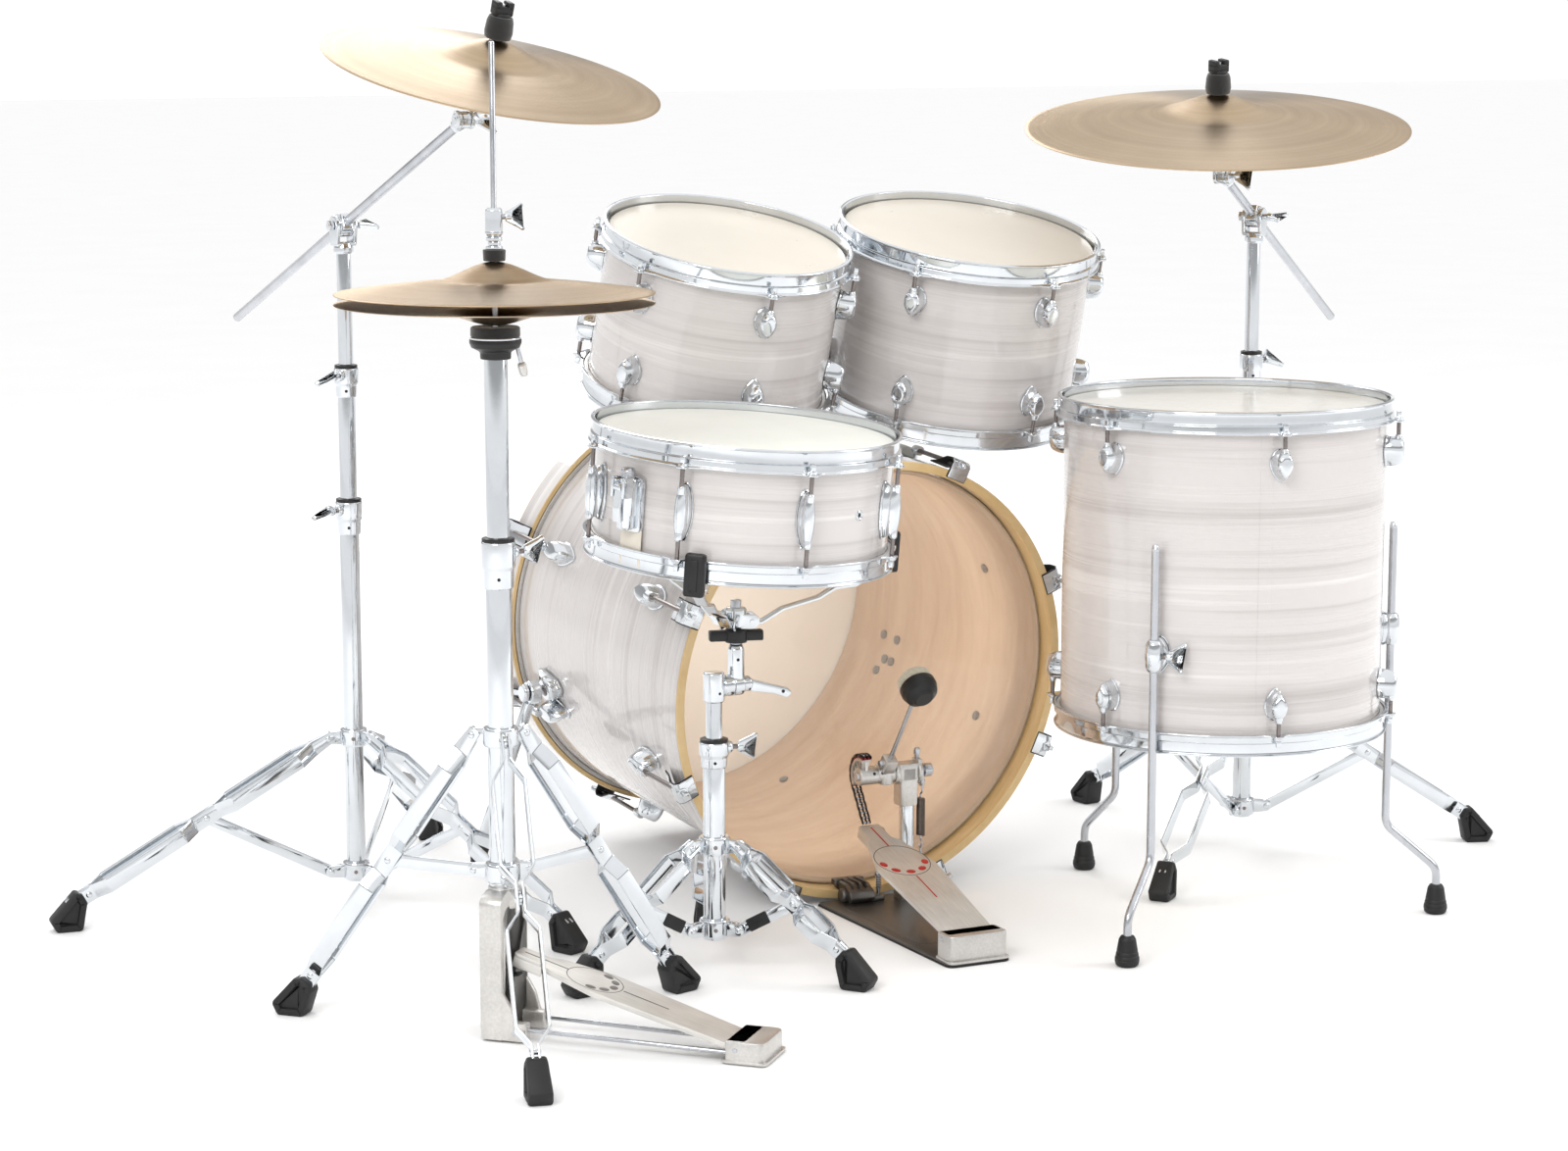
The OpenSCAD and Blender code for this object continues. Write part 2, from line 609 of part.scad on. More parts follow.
// Cymbal turned from its profile: edge at r, bow, bell and hole; z = 0 is the bell's foot
function bow(t, rise) = rise * (1 - t * t);
function cymbal_z(x, r, bell, rise, bell_h) = x > bell ? bow((x - bell) / (r - bell), rise) - rise
    : bell_h * sqrt(max(0, 1 - pow(x / bell, 2) * 0.999));
module cymbal(r, bell, bow_h, bell_h, hole) {
    xs = concat([for (i = [0 : 5]) hole + (bell - hole) * i / 6], [for (i = [0 : 9]) bell + (r - bell) * i / 9]);
    top = [for (x = xs) [x, cymbal_z(x, r, bell, bow_h, bell_h)]];
    rotate_extrude() polygon(concat(top,
        [for (i = [len(top) - 1 : -1 : 0]) top[i] - [0, cymbal_t]]));
}

module crash_cymbal() color(bronze) kit() tilted(crash_centre, crash_tilt, crash_heading)
    cymbal(crash_r, 55, 23, 17, post_r + 1);
module ride_cymbal() color(bronze) kit() tilted(ride_centre, ride_tilt, ride_heading)
    cymbal(ride_r, 62, 27, 18, post_r + 1);

// ---------- snare stand ----------
snare_tube_r = 13.5;
snare_upper_r = 10;
snare_low_top = 290;
snare_pivot = [snare_stand_pos[0] + 24, snare_stand_pos[1] + 2, 352];

module snare_tripod() color(chrome) kit() translate(snare_stand_pos)
    stand_base(snare_tube_r, snare_upper_r, snare_feet, snare_legs, snare_low_top, snare_low_top - 36, -20);

module snare_upper_tube() color(chrome) kit() {
    translate(snare_stand_pos) {
        pipe(snare_upper_r, snare_upper_r - 1.5, 110, 345);
        translate([0, 0, 338]) cylinder(h = 32, r = 13);
        translate([9, -2, 343]) cube([8.7, 8, 18]);
    }
    translate(snare_pivot + [-6, 0, 0]) rotate([0, 90, 0]) cylinder(h = 32, r = 4);
    translate(snare_pivot + [22, -4, -4]) cube([6, 8, 34]);
}

// Basket: tilting post, hub and three arms whose grips hold the lower hoop
grip_angles = [105, 225, 345];
arm_r = 5.5;
arm_path = [[6, 0, -90], [60, 0, -74], [150, 0, -44], [snare_r + 4, 0, -22]];
module snare_basket() color(chrome) {
    kit() difference() {
        union() {
            translate(snare_pivot + [1, 0, 0]) rotate([0, 90, 0]) cylinder(h = 14, r = 13);
            translate(snare_pivot + [8, 0, 6]) cylinder(h = 74, r = 7);
            translate(snare_pivot + [8, 0, 62]) cylinder(h = 12, r = 22);
            translate(snare_pivot + [8, 0, 84]) cylinder(h = 16, r = 14);
        }
        translate(snare_pivot + [-30, 0, 0]) rotate([0, 90, 0]) cylinder(h = 70, r = 4 + run);
    }
    in_snare() translate([0, 0, -snare_half]) for (a = grip_angles) spoke(a) {
        bar(arm_path[0], arm_path[1], arm_r);
        bar(arm_path[1], arm_path[2], arm_r);
        bar(arm_path[2], arm_path[3], arm_r);
        for (i = [1, 2]) translate(arm_path[i]) sphere(r = arm_r + 0.8);
        translate([snare_r - 8, -12, -24]) cube([24, 24, 24 - rim_up - gap]);
        translate([snare_r + flange_out + 0.6, -12.5, -25]) cube([12.4, 25, 52]);
    }
}

// ---------- hi-hat ----------
hat_low_top = 574;
hat_frame_top = 170;
hat_seat_z = 780;
hat_felt_z = 809;

module in_hat_pedal() kit() translate(hat_pos) spoke(hat_heel_dir) children();

module hihat_tripod() color(chrome) kit() translate(hat_pos) {
    difference() {
        union() {
            pipe(hat_tube_r, hat_upper_r + run, hat_frame_top + 1, hat_low_top);
            hub(hat_tube_r, hat_legs[1], hat_feet, false);
            hub(hat_tube_r, hat_legs[2], hat_feet, true);
            collar(hat_tube_r, hat_upper_r, hat_low_top - 58, hat_low_top, 0);
        }
        translate([0, 0, hat_frame_top]) cylinder(h = hat_low_top, r = hat_upper_r + run);
    }
    legs(hat_feet, hat_legs[0], hat_legs[1], hat_legs[2]);
}

// Pedal frame: two uprights, top bridge, two long rods and the heel block
upright_y = 36;
heel_x = 292;
module hihat_frame() color(alloy) in_hat_pedal() {
    difference() {
        union() {
            for (s = [-1, 1]) {
                translate([-14, s * upright_y - 3, 3]) cube([28, 6, 150]);
                translate([-14, s * (upright_y - 3) - 6, 3]) cube([54, 12, 22]);
            }
            translate([-14, -upright_y - 3, 146]) cube([28, 2 * upright_y + 6, 18]);
            translate([0, 0, 140]) cylinder(h = hat_frame_top - 140, r = 19);
        }
        translate([0, 0, 130]) cylinder(h = 60, r = 7);
    }
    for (s = [-1, 1]) bar([40.4, s * 28, 15], [heel_x - 12.4, s * 25, 11], 3.5);
    difference() {
        translate([heel_x - 12, -36, 1]) cube([46, 72, 26]);
        translate([heel_x - 20, -30.6, 6]) cube([32, 61.2, 40]);
    }
    translate([heel_x, 35, 17]) rotate([90, 0, 0]) cylinder(h = 70, r = 3);
}

// A footboard: tapered plate from its hinge at the origin to the toe at x = -length
module footboard(length, heel_half, wide_half, toe_half, t) difference() {
    union() {
        translate([0, 0, -t / 2]) linear_extrude(t) polygon([
            [0, -heel_half], [0, heel_half], [-0.62 * length, wide_half], [-0.8 * length, wide_half - 4],
            [-0.88 * length, toe_half], [-length, toe_half], [-length, -toe_half], [-0.88 * length, -toe_half],
            [-0.8 * length, -wide_half + 4], [-0.62 * length, -wide_half]]);
        rotate([90, 0, 0]) translate([0, 0, -heel_half]) cylinder(h = 2 * heel_half, r = 5.5);
    }
    rotate([90, 0, 0]) translate([0, 0, -60]) cylinder(h = 120, r = 3 + run);
}

hat_toe_z = 98;
module hihat_footboard() color(alloy) in_hat_pedal() translate([heel_x, 0, 17])
    rotate([0, atan2(hat_toe_z - 17, heel_x - 18), 0]) footboard(norm([heel_x - 18, hat_toe_z - 17]), 30, 37, 14, 5);

module hihat_upper_tube() color(chrome) kit() translate(hat_pos) {
    pipe(hat_upper_r, hat_upper_r - 1.5, 300, hat_seat_z);
    pipe(17, hat_rod_r + 1, hat_seat_z - 6, hat_seat_z + 4);
    pipe(24, hat_rod_r + 1, hat_seat_z + 4, hat_seat_z + 18);
    pipe(20, hat_rod_r + 1, hat_seat_z + 18, hat_felt_z);
}

hat_bow = 13;              // bottom cymbal
hat_bell = 11;
hat_top_bow = 18;
hat_top_bell = 17;
module hihat_bottom_cymbal() color(bronze) kit() translate([0, 0, hat_edge_z - hat_gap]) translate(hat_pos)
    mirror([0, 0, 1]) translate([0, 0, hat_bow]) cymbal(hat_r, 46, hat_bow, hat_bell, hat_rod_r + 1);

// Pull rod with the clutch above and below the top cymbal
module hihat_rod() color(chrome) kit() translate(hat_pos) {
    translate([0, 0, 128]) cylinder(h = 1122 - 128, r = hat_rod_r);
    translate([0, 0, 112]) cylinder(h = 20, r = 5.5);
    translate([0, 0, hat_edge_z + 18]) cylinder(h = 12, r = 9);
    translate([0, 0, hat_edge_z + 35.4]) cylinder(h = 13, r = 12.5);
    translate([0, 0, hat_edge_z + 48]) cylinder(h = 46, r = 8.5);
    translate([4, 0, hat_edge_z + 84]) wing_bolt(14);
}

module hihat_top_cymbal() color(bronze) kit() translate([0, 0, hat_edge_z]) translate(hat_pos)
    translate([0, 0, hat_top_bow]) cymbal(hat_r, 50, hat_top_bow, hat_top_bell, hat_rod_r + 1);

// ---------- bass pedal ----------
module in_kick() kit() translate(kick_pos) spoke(kick_dir) children();

module kick_frame() color([0.35, 0.35, 0.36]) in_kick() {
    linear_extrude(5) polygon([[1, -50], [kick_heel[0] + 22, -42], [kick_heel[0] + 22, 42],
        [80, 84], [1, 84]]);
    translate([-1, -20, 4]) cube([15, 40, 18]);
    translate([-18, -20, 18.6]) cube([32, 40, 9]);
    difference() {
        union() {
            translate([kick_axle[0] - 12, kick_post_v - 12, 5]) cube([24, 24, 30]);
            translate([kick_axle[0], kick_post_v, 5]) cylinder(h = kick_axle[2] - 20, r = 8);
            translate([kick_axle[0] - 12, kick_post_v - 15, kick_axle[2] - 26]) cube([24, 30, 42]);
        }
        translate([kick_axle[0], 160, kick_axle[2]]) rotate([90, 0, 0]) cylinder(h = 200, r = 6 + run);
    }
    difference() {
        translate([kick_heel[0] - 12, -41, 5]) cube([34, 82, 34]);
        translate([kick_heel[0] - 20, -34.6, 12]) cube([34, 69.2, 60]);
    }
    translate([kick_heel[0], 38, kick_heel[2]]) rotate([90, 0, 0]) cylinder(h = 76, r = 3);
}

kick_foot_len = norm([kick_heel[0] - kick_toe[0], kick_heel[2] - kick_toe[2]]);
module kick_footboard() color(alloy) in_kick() translate(kick_heel)
    rotate([0, atan2(kick_toe[2] - kick_heel[2], kick_heel[0] - kick_toe[0]), 0])
        footboard(kick_foot_len, 34, 42, 15, 5);

kick_cam_r = 22;
beater_at = [126, 0, 305];
module kick_beater() color(chrome) in_kick() {
    translate([kick_axle[0], -12, kick_axle[2]]) rotate([-90, 0, 0]) cylinder(h = kick_post_v + 39, r = 6);
    translate([kick_axle[0], 7, kick_axle[2]]) rotate([90, 0, 0]) cylinder(h = 14, r = kick_cam_r);
    translate([kick_axle[0], kick_beater_v + 9, kick_axle[2]]) rotate([90, 0, 0]) cylinder(h = 18, r = 14);
    bar([kick_axle[0], kick_beater_v, kick_axle[2]], beater_at + [0, kick_beater_v, 0], 3);
    translate(beater_at + [0, kick_beater_v, 0]) sphere(r = 24);
}

module kick_chain() color(black) in_kick() bar([15, 0, 152], [40, 0, 121], 3);

module kick_spring() color([0.42, 0.38, 0.36]) in_kick()
    translate([kick_axle[0], kick_post_v + 21, 70]) cylinder(h = 92, r = 5.5);

// ---------- rubber feet ----------
// Wedge boot on the end of a tripod leg, with the slot that the leg sits in
module boot(foot_r, hub_z) {
    slope = leg_slope(foot_r, hub_z);
    entry = [foot_r - foot_back, 0, foot_entry_z];
    t = [cos(slope), -sin(slope)];
    n = [sin(slope), cos(slope)];
    e = [entry[0], entry[2]];
    difference() {
        rotate([90, 0, 0]) translate([0, 0, -14.5]) linear_extrude(29) polygon([
            e + 13.5 * n, e - 13.5 * n, [e[0] + 2, 0], [e[0] + 34, 0], [e[0] + 42, 14]]);
        translate(entry) rotate([0, slope, 0]) translate([-40, -5.6, -strip_w / 2 - gap])
            cube([62, 11.2, strip_w + 2 * gap]);
    }
}

module boots(pos, angles, dims) translate(pos) for (a = angles) spoke(a) boot(dims[0], dims[1]);

module rubber_feet() color(black) kit() {
    boots(crash_pos, crash_feet, crash_legs);
    boots(ride_pos, ride_feet, ride_legs);
    boots(snare_stand_pos, snare_feet, snare_legs);
    boots(hat_pos, hat_feet, hat_legs);
}

bass_shell();
bass_hoops();
bass_heads();
bass_lugs();
bass_claws();
drum_leg_brackets();
tom_holder();
spur_left();
spur_right();
floor_tom_shell();
floor_tom_hoops();
floor_tom_heads();
floor_tom_lugs();
floor_leg_1();
floor_leg_2();
floor_leg_3();
tom_left_shell();
tom_left_hoops();
tom_left_heads();
tom_left_lugs();
tom_left_mount();
tom_right_shell();
tom_right_hoops();
tom_right_heads();
tom_right_lugs();
tom_right_mount();
snare_shell();
snare_hoops();
snare_heads();
snare_lugs();
snare_strainer();
snare_lever();
snare_tripod();
snare_upper_tube();
snare_basket();
hihat_tripod();
hihat_frame();
hihat_footboard();
hihat_upper_tube();
hihat_bottom_cymbal();
hihat_rod();
hihat_top_cymbal();
crash_tripod();
crash_mid_tube();
crash_upper_tube();
crash_boom();
crash_tilter();
crash_cymbal();
ride_tripod();
ride_mid_tube();
ride_upper_tube();
ride_boom();
ride_tilter();
ride_cymbal();
kick_frame();
kick_chain();
kick_spring();
kick_footboard();
kick_beater();
rubber_feet();
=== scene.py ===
import json
from math import acos, atan2, cos, degrees, hypot, pi, radians, sin, sqrt

import bpy
import numpy as np
from mathutils import Matrix, Vector


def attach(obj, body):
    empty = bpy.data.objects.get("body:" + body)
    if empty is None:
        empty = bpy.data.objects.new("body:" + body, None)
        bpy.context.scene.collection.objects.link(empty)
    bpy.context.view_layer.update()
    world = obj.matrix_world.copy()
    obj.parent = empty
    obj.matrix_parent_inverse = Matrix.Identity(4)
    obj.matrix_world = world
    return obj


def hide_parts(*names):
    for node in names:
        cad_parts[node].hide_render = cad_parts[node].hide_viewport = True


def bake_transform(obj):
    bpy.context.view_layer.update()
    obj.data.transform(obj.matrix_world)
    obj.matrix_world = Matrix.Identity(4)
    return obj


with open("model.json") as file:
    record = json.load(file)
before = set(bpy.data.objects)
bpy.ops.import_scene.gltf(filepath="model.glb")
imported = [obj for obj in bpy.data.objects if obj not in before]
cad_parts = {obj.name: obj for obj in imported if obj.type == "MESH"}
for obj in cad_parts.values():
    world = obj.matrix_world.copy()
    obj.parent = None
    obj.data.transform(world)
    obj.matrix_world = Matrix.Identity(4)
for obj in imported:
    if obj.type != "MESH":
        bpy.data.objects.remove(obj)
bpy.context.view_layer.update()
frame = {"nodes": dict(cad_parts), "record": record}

MM = 0.001                         # every size below is in millimetres

# ---------------------------------------------------------------- shapes


class Shape:
    """Points in millimetres, faces, and each face's material number."""

    def __init__(self, points, faces, paint=0):
        self.points = np.asarray(points, float).reshape(-1, 3)
        self.faces = [tuple(f) for f in faces]
        self.paints = [paint] * len(self.faces)

    def moved(self, matrix):
        m = np.array(matrix)
        points = self.points @ m[:3, :3].T + m[:3, 3]
        flip = np.linalg.det(m[:3, :3]) < 0
        out = Shape(points, [f[::-1] for f in self.faces] if flip else self.faces)
        out.paints = list(self.paints)
        return out


def join(*shapes):
    """One shape from many; lists of shapes are taken apart first."""
    flat = []
    for s in shapes:
        flat += [join(*s)] if isinstance(s, (list, tuple)) else [s]
    points = []
    faces = []
    paints = []
    start = 0
    for s in flat:
        points.append(s.points)
        faces += [tuple(i + start for i in f) for f in s.faces]
        paints += s.paints
        start += len(s.points)
    out = Shape(np.concatenate(points) if points else np.zeros((0, 3)), faces)
    out.paints = paints
    return out


def at(x=0.0, y=0.0, z=0.0):
    return Matrix.Translation((x, y, z))


def turn(axis, angle):
    return Matrix.Rotation(radians(angle), 4, axis)


def mirror(axis):
    return Matrix.Diagonal([-1 if a == axis else 1 for a in "xyz"] + [1])


def on_y(shape):
    """A part made along z, laid along y."""
    return shape.moved(turn("X", -90))


def on_x(shape):
    return shape.moved(turn("Y", 90))


def around(shape, angles, matrix=None):
    """The shape repeated about z at each angle, after matrix has placed it."""
    placed = shape.moved(matrix) if matrix is not None else shape
    return join([placed.moved(turn("Z", a)) for a in angles])


def spread(first, count):
    return [first + i * 360 / count for i in range(count)]


def fillet(points, radius, steps=3, closed=True):
    """The corners of a flat outline rounded; radius is one number or one per point."""
    n = len(points)
    radii = radius if isinstance(radius, (list, tuple)) else [radius] * n
    out = []
    for i, p in enumerate(points):
        p = Vector(p)
        if radii[i] <= 0 or (not closed and i in (0, n - 1)):
            out.append(tuple(p))
            continue
        a = Vector(points[i - 1]) - p
        b = Vector(points[(i + 1) % n]) - p
        angle = a.angle(b, pi)
        if angle > pi - 0.02 or angle < 0.02:
            out.append(tuple(p))
            continue
        reach = min(radii[i] / (sin(angle / 2) / cos(angle / 2)), a.length * 0.48, b.length * 0.48)
        start = p + a.normalized() * reach
        end = p + b.normalized() * reach
        for k in range(steps + 1):
            t = k / steps
            # a quadratic curve with its handle on the corner
            out.append(tuple(start * (1 - t) ** 2 + p * (2 * t * (1 - t)) + end * t ** 2))
    return out


def lathe(profile, n=96, closed=True, paint=0):
    """(radius, height) points turned about z; points on the axis are shared."""
    points = []
    index = []
    for r, z in profile:
        if r < 1e-6:
            index.append([len(points)] * n)
            points.append((0, 0, z))
        else:
            index.append(list(range(len(points), len(points) + n)))
            points += [(r * cos(2 * pi * i / n), r * sin(2 * pi * i / n), z) for i in range(n)]
    rows = len(profile) if closed else len(profile) - 1
    faces = []
    for q in range(rows):
        a = index[q]
        b = index[(q + 1) % len(profile)]
        for i in range(n):
            j = (i + 1) % n
            face = []
            for c in (a[i], a[j], b[j], b[i]):
                if c not in face:
                    face.append(c)
            if len(face) > 2:
                faces.append(face)
    return Shape(points, faces, paint)


def turned(profile, radius=0.5, n=32, paint=0, steps=2):
    """A solid turned part: the profile runs from the axis to the axis, its corners rounded."""
    return lathe(fillet(profile, radius, steps, closed=False), n, closed=False, paint=paint)


def rod(r, z0, z1, edge=0.5, n=24, paint=0):
    return turned([(0, z0), (r, z0), (r, z1), (0, z1)], edge, n, paint)


def pipe(ro, ri, z0, z1, edge=0.5, n=64, paint=0):
    return lathe(fillet([(ri, z0), (ro, z0), (ro, z1), (ri, z1)], edge, 2), n, paint=paint)


def loft(rings, paint=0, caps=True, closed=True):
    """Rings of equally many 3D points, joined in turn."""
    n = len(rings[0])
    points = [p for ring in rings for p in ring]
    faces = []
    for k in range(len(rings) - 1):
        for i in range(n if closed else n - 1):
            j = (i + 1) % n
            faces.append((k * n + i, k * n + j, (k + 1) * n + j, (k + 1) * n + i))
    if caps:
        faces.append(tuple(range(n))[::-1])
        faces.append(tuple(range((len(rings) - 1) * n, len(rings) * n)))
    return Shape(points, faces, paint)


def inset(outline, d):
    """A flat outline moved inwards by d, for small d."""
    area = 0.0
    for (x0, y0), (x1, y1) in zip(outline, outline[1:] + outline[:1]):
        area += x0 * y1 - x1 * y0
    side = 1 if area > 0 else -1
    out = []
    n = len(outline)
    for i in range(n):
        p = Vector(outline[i])
        a = p - Vector(outline[i - 1])
        b = Vector(outline[(i + 1) % n]) - p
        if a.length < 1e-9:
            a = b
        if b.length < 1e-9:
            b = a
        na = Vector((-a.y, a.x)).normalized()
        nb = Vector((-b.y, b.x)).normalized()
        m = na + nb
        if m.length < 1e-6:
            m = na
        m.normalize()
        out.append(tuple(p + m * (side * d / max(0.4, m.dot(na)))))
    return out


def slab(outline, z0, z1, edge=0.6, paint=0):
    """A flat outline (x, y) extruded from z0 to z1, with rounded edges."""
    outline = [tuple(p) for p in outline]
    if edge <= 0:
        return loft([[(x, y, z) for x, y in outline] for z in (z0, z1)], paint)
    low = []
    high = []
    for k in range(3):
        a = k * pi / 4
        ring = inset(outline, edge * (1 - cos(a)))
        low.append([(x, y, z0 + edge * (1 - sin(a))) for x, y in ring])
        high.append([(x, y, z1 - edge * (1 - sin(a))) for x, y in ring])
    return loft(low[::-1] + high, paint)


def rectangle(x0, y0, x1, y1, r=1.0):
    return fillet([(x0, y0), (x1, y0), (x1, y1), (x0, y1)], r)


def block(lo, hi, r=1.0, edge=0.8, paint=0):
    """A box with rounded edges, from its lowest to its highest corner."""
    return slab(rectangle(lo[0], lo[1], hi[0], hi[1], r), lo[2], hi[2], edge, paint)


def curve(points, radius, steps=5):
    """A 3D path with its corners rounded."""
    return [Vector(p) for p in fillet([tuple(p) for p in points], radius, steps, closed=False)]


def sweep(path, section, up=None, paint=0, caps=True, scale=None):
    """A flat section swept along a 3D path; up keeps the section from turning."""
    path = [Vector(p) for p in path]
    n = len(path)
    tangents = []
    for i in range(n):
        a = path[max(i - 1, 0)]
        b = path[min(i + 1, n - 1)]
        tangents.append((b - a).normalized())
    normal = Vector(up) if up is not None else tangents[0].orthogonal()
    rings = []
    for i, (p, t) in enumerate(zip(path, tangents)):
        normal = (Vector(up) if up is not None else normal)
        normal = (normal - t * normal.dot(t)).normalized()
        side = t.cross(normal)
        k = scale[i] if scale else 1.0
        rings.append([tuple(p + normal * (x * k) + side * (y * k)) for x, y in section])
    return loft(rings, paint, caps)


def circle(r, n=12):
    return [(r * cos(2 * pi * i / n), r * sin(2 * pi * i / n)) for i in range(n)]


def wire(points, r, bend=0, n=12, paint=0):
    """A round bar along a path, its corners bent at radius bend."""
    path = curve(points, bend) if bend else [Vector(p) for p in points]
    return sweep(path, circle(r, n), paint=paint)


def between(shape, a, b):
    """A shape that stands on z, placed on the line from a to b."""
    a = Vector(a)
    b = Vector(b)
    turned_z = Vector((0, 0, 1)).rotation_difference(b - a).to_matrix().to_4x4()
    return shape.moved(Matrix.Translation(a) @ turned_z)


def bar(a, b, r, edge=0.5, n=24, paint=0):
    return between(rod(r, 0, (Vector(b) - Vector(a)).length, edge, n, paint), a, b)


def ball(r, n=32, paint=0, rows=16):
    profile = [(r * cos(radians(a)), r * sin(radians(a))) for a in np.linspace(-90, 90, rows + 1)]
    profile[0] = (0, -r)
    profile[-1] = (0, r)
    return lathe(profile, n, closed=False, paint=paint)


# ---------------------------------------------------------------- materials


def srgb(r, g, b):
    """Linear colour of an sRGB colour given from 0 to 1."""
    return [c / 12.92 if c <= 0.04045 else ((c + 0.055) / 1.055) ** 2.4 for c in (r, g, b)] + [1]


class Paint:
    """A Principled material and short calls for the nodes that feed it."""

    def __init__(self, name, **values):
        self.material = bpy.data.materials.new(name)
        self.material.use_nodes = True
        self.tree = self.material.node_tree
        self.shader = self.tree.nodes["Principled BSDF"]
        for key, value in values.items():
            self.shader.inputs[key.replace("_", " ")].default_value = value

    def node(self, kind, inputs=(), **settings):
        made = self.tree.nodes.new(kind)
        for key, value in settings.items():
            setattr(made, key, value)
        for key, value in dict(inputs).items():
            if isinstance(value, bpy.types.NodeSocket):
                self.tree.links.new(value, made.inputs[key])
            else:
                made.inputs[key].default_value = value
        return made

    def feed(self, socket, value):
        self.tree.links.new(value, self.shader.inputs[socket])

    def place(self, scale=(1, 1, 1)):
        """Object coordinates in metres, stretched by scale."""
        coordinates = self.node("ShaderNodeTexCoord").outputs["Object"]
        return self.node("ShaderNodeMapping", {"Vector": coordinates, "Scale": scale}).outputs["Vector"]

    def noise(self, vector, scale, detail=3.0, roughness=0.5):
        made = self.node("ShaderNodeTexNoise", {"Vector": vector, "Scale": scale, "Detail": detail,
                                                "Roughness": roughness})
        return made.outputs["Fac"]

    def ramp(self, value, stops):
        made = self.node("ShaderNodeValToRGB", {"Fac": value})
        elements = made.color_ramp.elements
        while len(elements) < len(stops):
            elements.new(0.5)
        for element, (position, colour) in zip(elements, stops):
            element.position = position
            element.color = colour if isinstance(colour, list) else [colour, colour, colour, 1]
        return made.outputs["Color"]

    def math(self, operation, a, b=0.0):
        return self.node("ShaderNodeMath", {0: a, 1: b}, operation=operation).outputs[0]

    def bump(self, height, strength, distance):
        made = self.node("ShaderNodeBump", {"Height": height, "Strength": strength, "Distance": distance})
        self.feed("Normal", made.outputs["Normal"])

    def radius(self):
        """Distance from the object's own z axis."""
        split = self.node("ShaderNodeSeparateXYZ", {0: self.place()}).outputs
        across = self.math("MULTIPLY", split[0], split[0])
        along = self.math("MULTIPLY", split[1], split[1])
        return self.math("SQRT", self.math("ADD", across, along))


def wrap_material(name, axis_scale, around_scale=1.3, shade=1.0):
    """Pearl sheet: fine light and grey bands that run round the drum, under a clear gloss."""
    p = Paint(name, Roughness=0.22, Coat_Weight=0.8, Coat_Roughness=0.04, IOR=1.5)
    broad = p.noise(p.place((around_scale, around_scale, 17 * axis_scale)), 1.0, 2.0, 0.45)
    fine = p.noise(p.place((around_scale * 1.7, around_scale * 1.7, 75 * axis_scale)), 1.0, 5.0, 0.62)
    hair = p.noise(p.place((around_scale * 2.4, around_scale * 2.4, 330 * axis_scale)), 1.0, 3.0, 0.6)
    bands = p.math("ADD", p.math("MULTIPLY", broad, 0.42),
                   p.math("ADD", p.math("MULTIPLY", fine, 0.45), p.math("MULTIPLY", hair, 0.13)))
    dark = [c * shade for c in srgb(0.70, 0.675, 0.665)[:3]] + [1]
    middle = [c * shade for c in srgb(0.805, 0.785, 0.775)[:3]] + [1]
    light = [c * shade for c in srgb(0.90, 0.885, 0.87)[:3]] + [1]
    p.feed("Base Color", p.ramp(bands, [(0.36, dark), (0.49, middle), (0.56, middle), (0.66, light)]))
    p.feed("Roughness", p.ramp(fine, [(0.3, 0.18), (0.7, 0.34)]))
    return p.material


def chrome_material(name="chrome", tint=(0.86, 0.875, 0.89), rough=0.05):
    """Polished plating with faint smears and pits."""
    p = Paint(name, Metallic=1.0, Roughness=rough)
    cloud = p.noise(p.place(), 22.0, 4.0, 0.6)
    p.feed("Roughness", p.ramp(cloud, [(0.35, rough), (0.75, rough + 0.07)]))
    grain = p.noise(p.place(), 260.0, 2.0, 0.5)
    p.feed("Base Color", p.ramp(cloud, [(0.3, srgb(*[c * 0.96 for c in tint])), (0.7, srgb(*tint))]))
    p.bump(grain, 0.05, 0.0002)
    return p.material


def satin_material(name, tint, rough, streak=(40, 40, 900), strength=0.12):
    """Brushed or cast metal: streaks along one way and slow clouding."""
    p = Paint(name, Metallic=1.0, Roughness=rough)
    brushed = p.noise(p.place(streak), 1.0, 4.0, 0.6)
    cloud = p.noise(p.place(), 14.0, 3.0, 0.55)
    mixed = p.math("ADD", p.math("MULTIPLY", brushed, 0.5), p.math("MULTIPLY", cloud, 0.5))
    p.feed("Base Color", p.ramp(mixed, [(0.3, srgb(*[c * 0.86 for c in tint])), (0.7, srgb(*tint))]))
    p.feed("Roughness", p.ramp(mixed, [(0.3, rough - 0.06), (0.7, rough + 0.08)]))
    p.bump(brushed, strength, 0.0003)
    return p.material


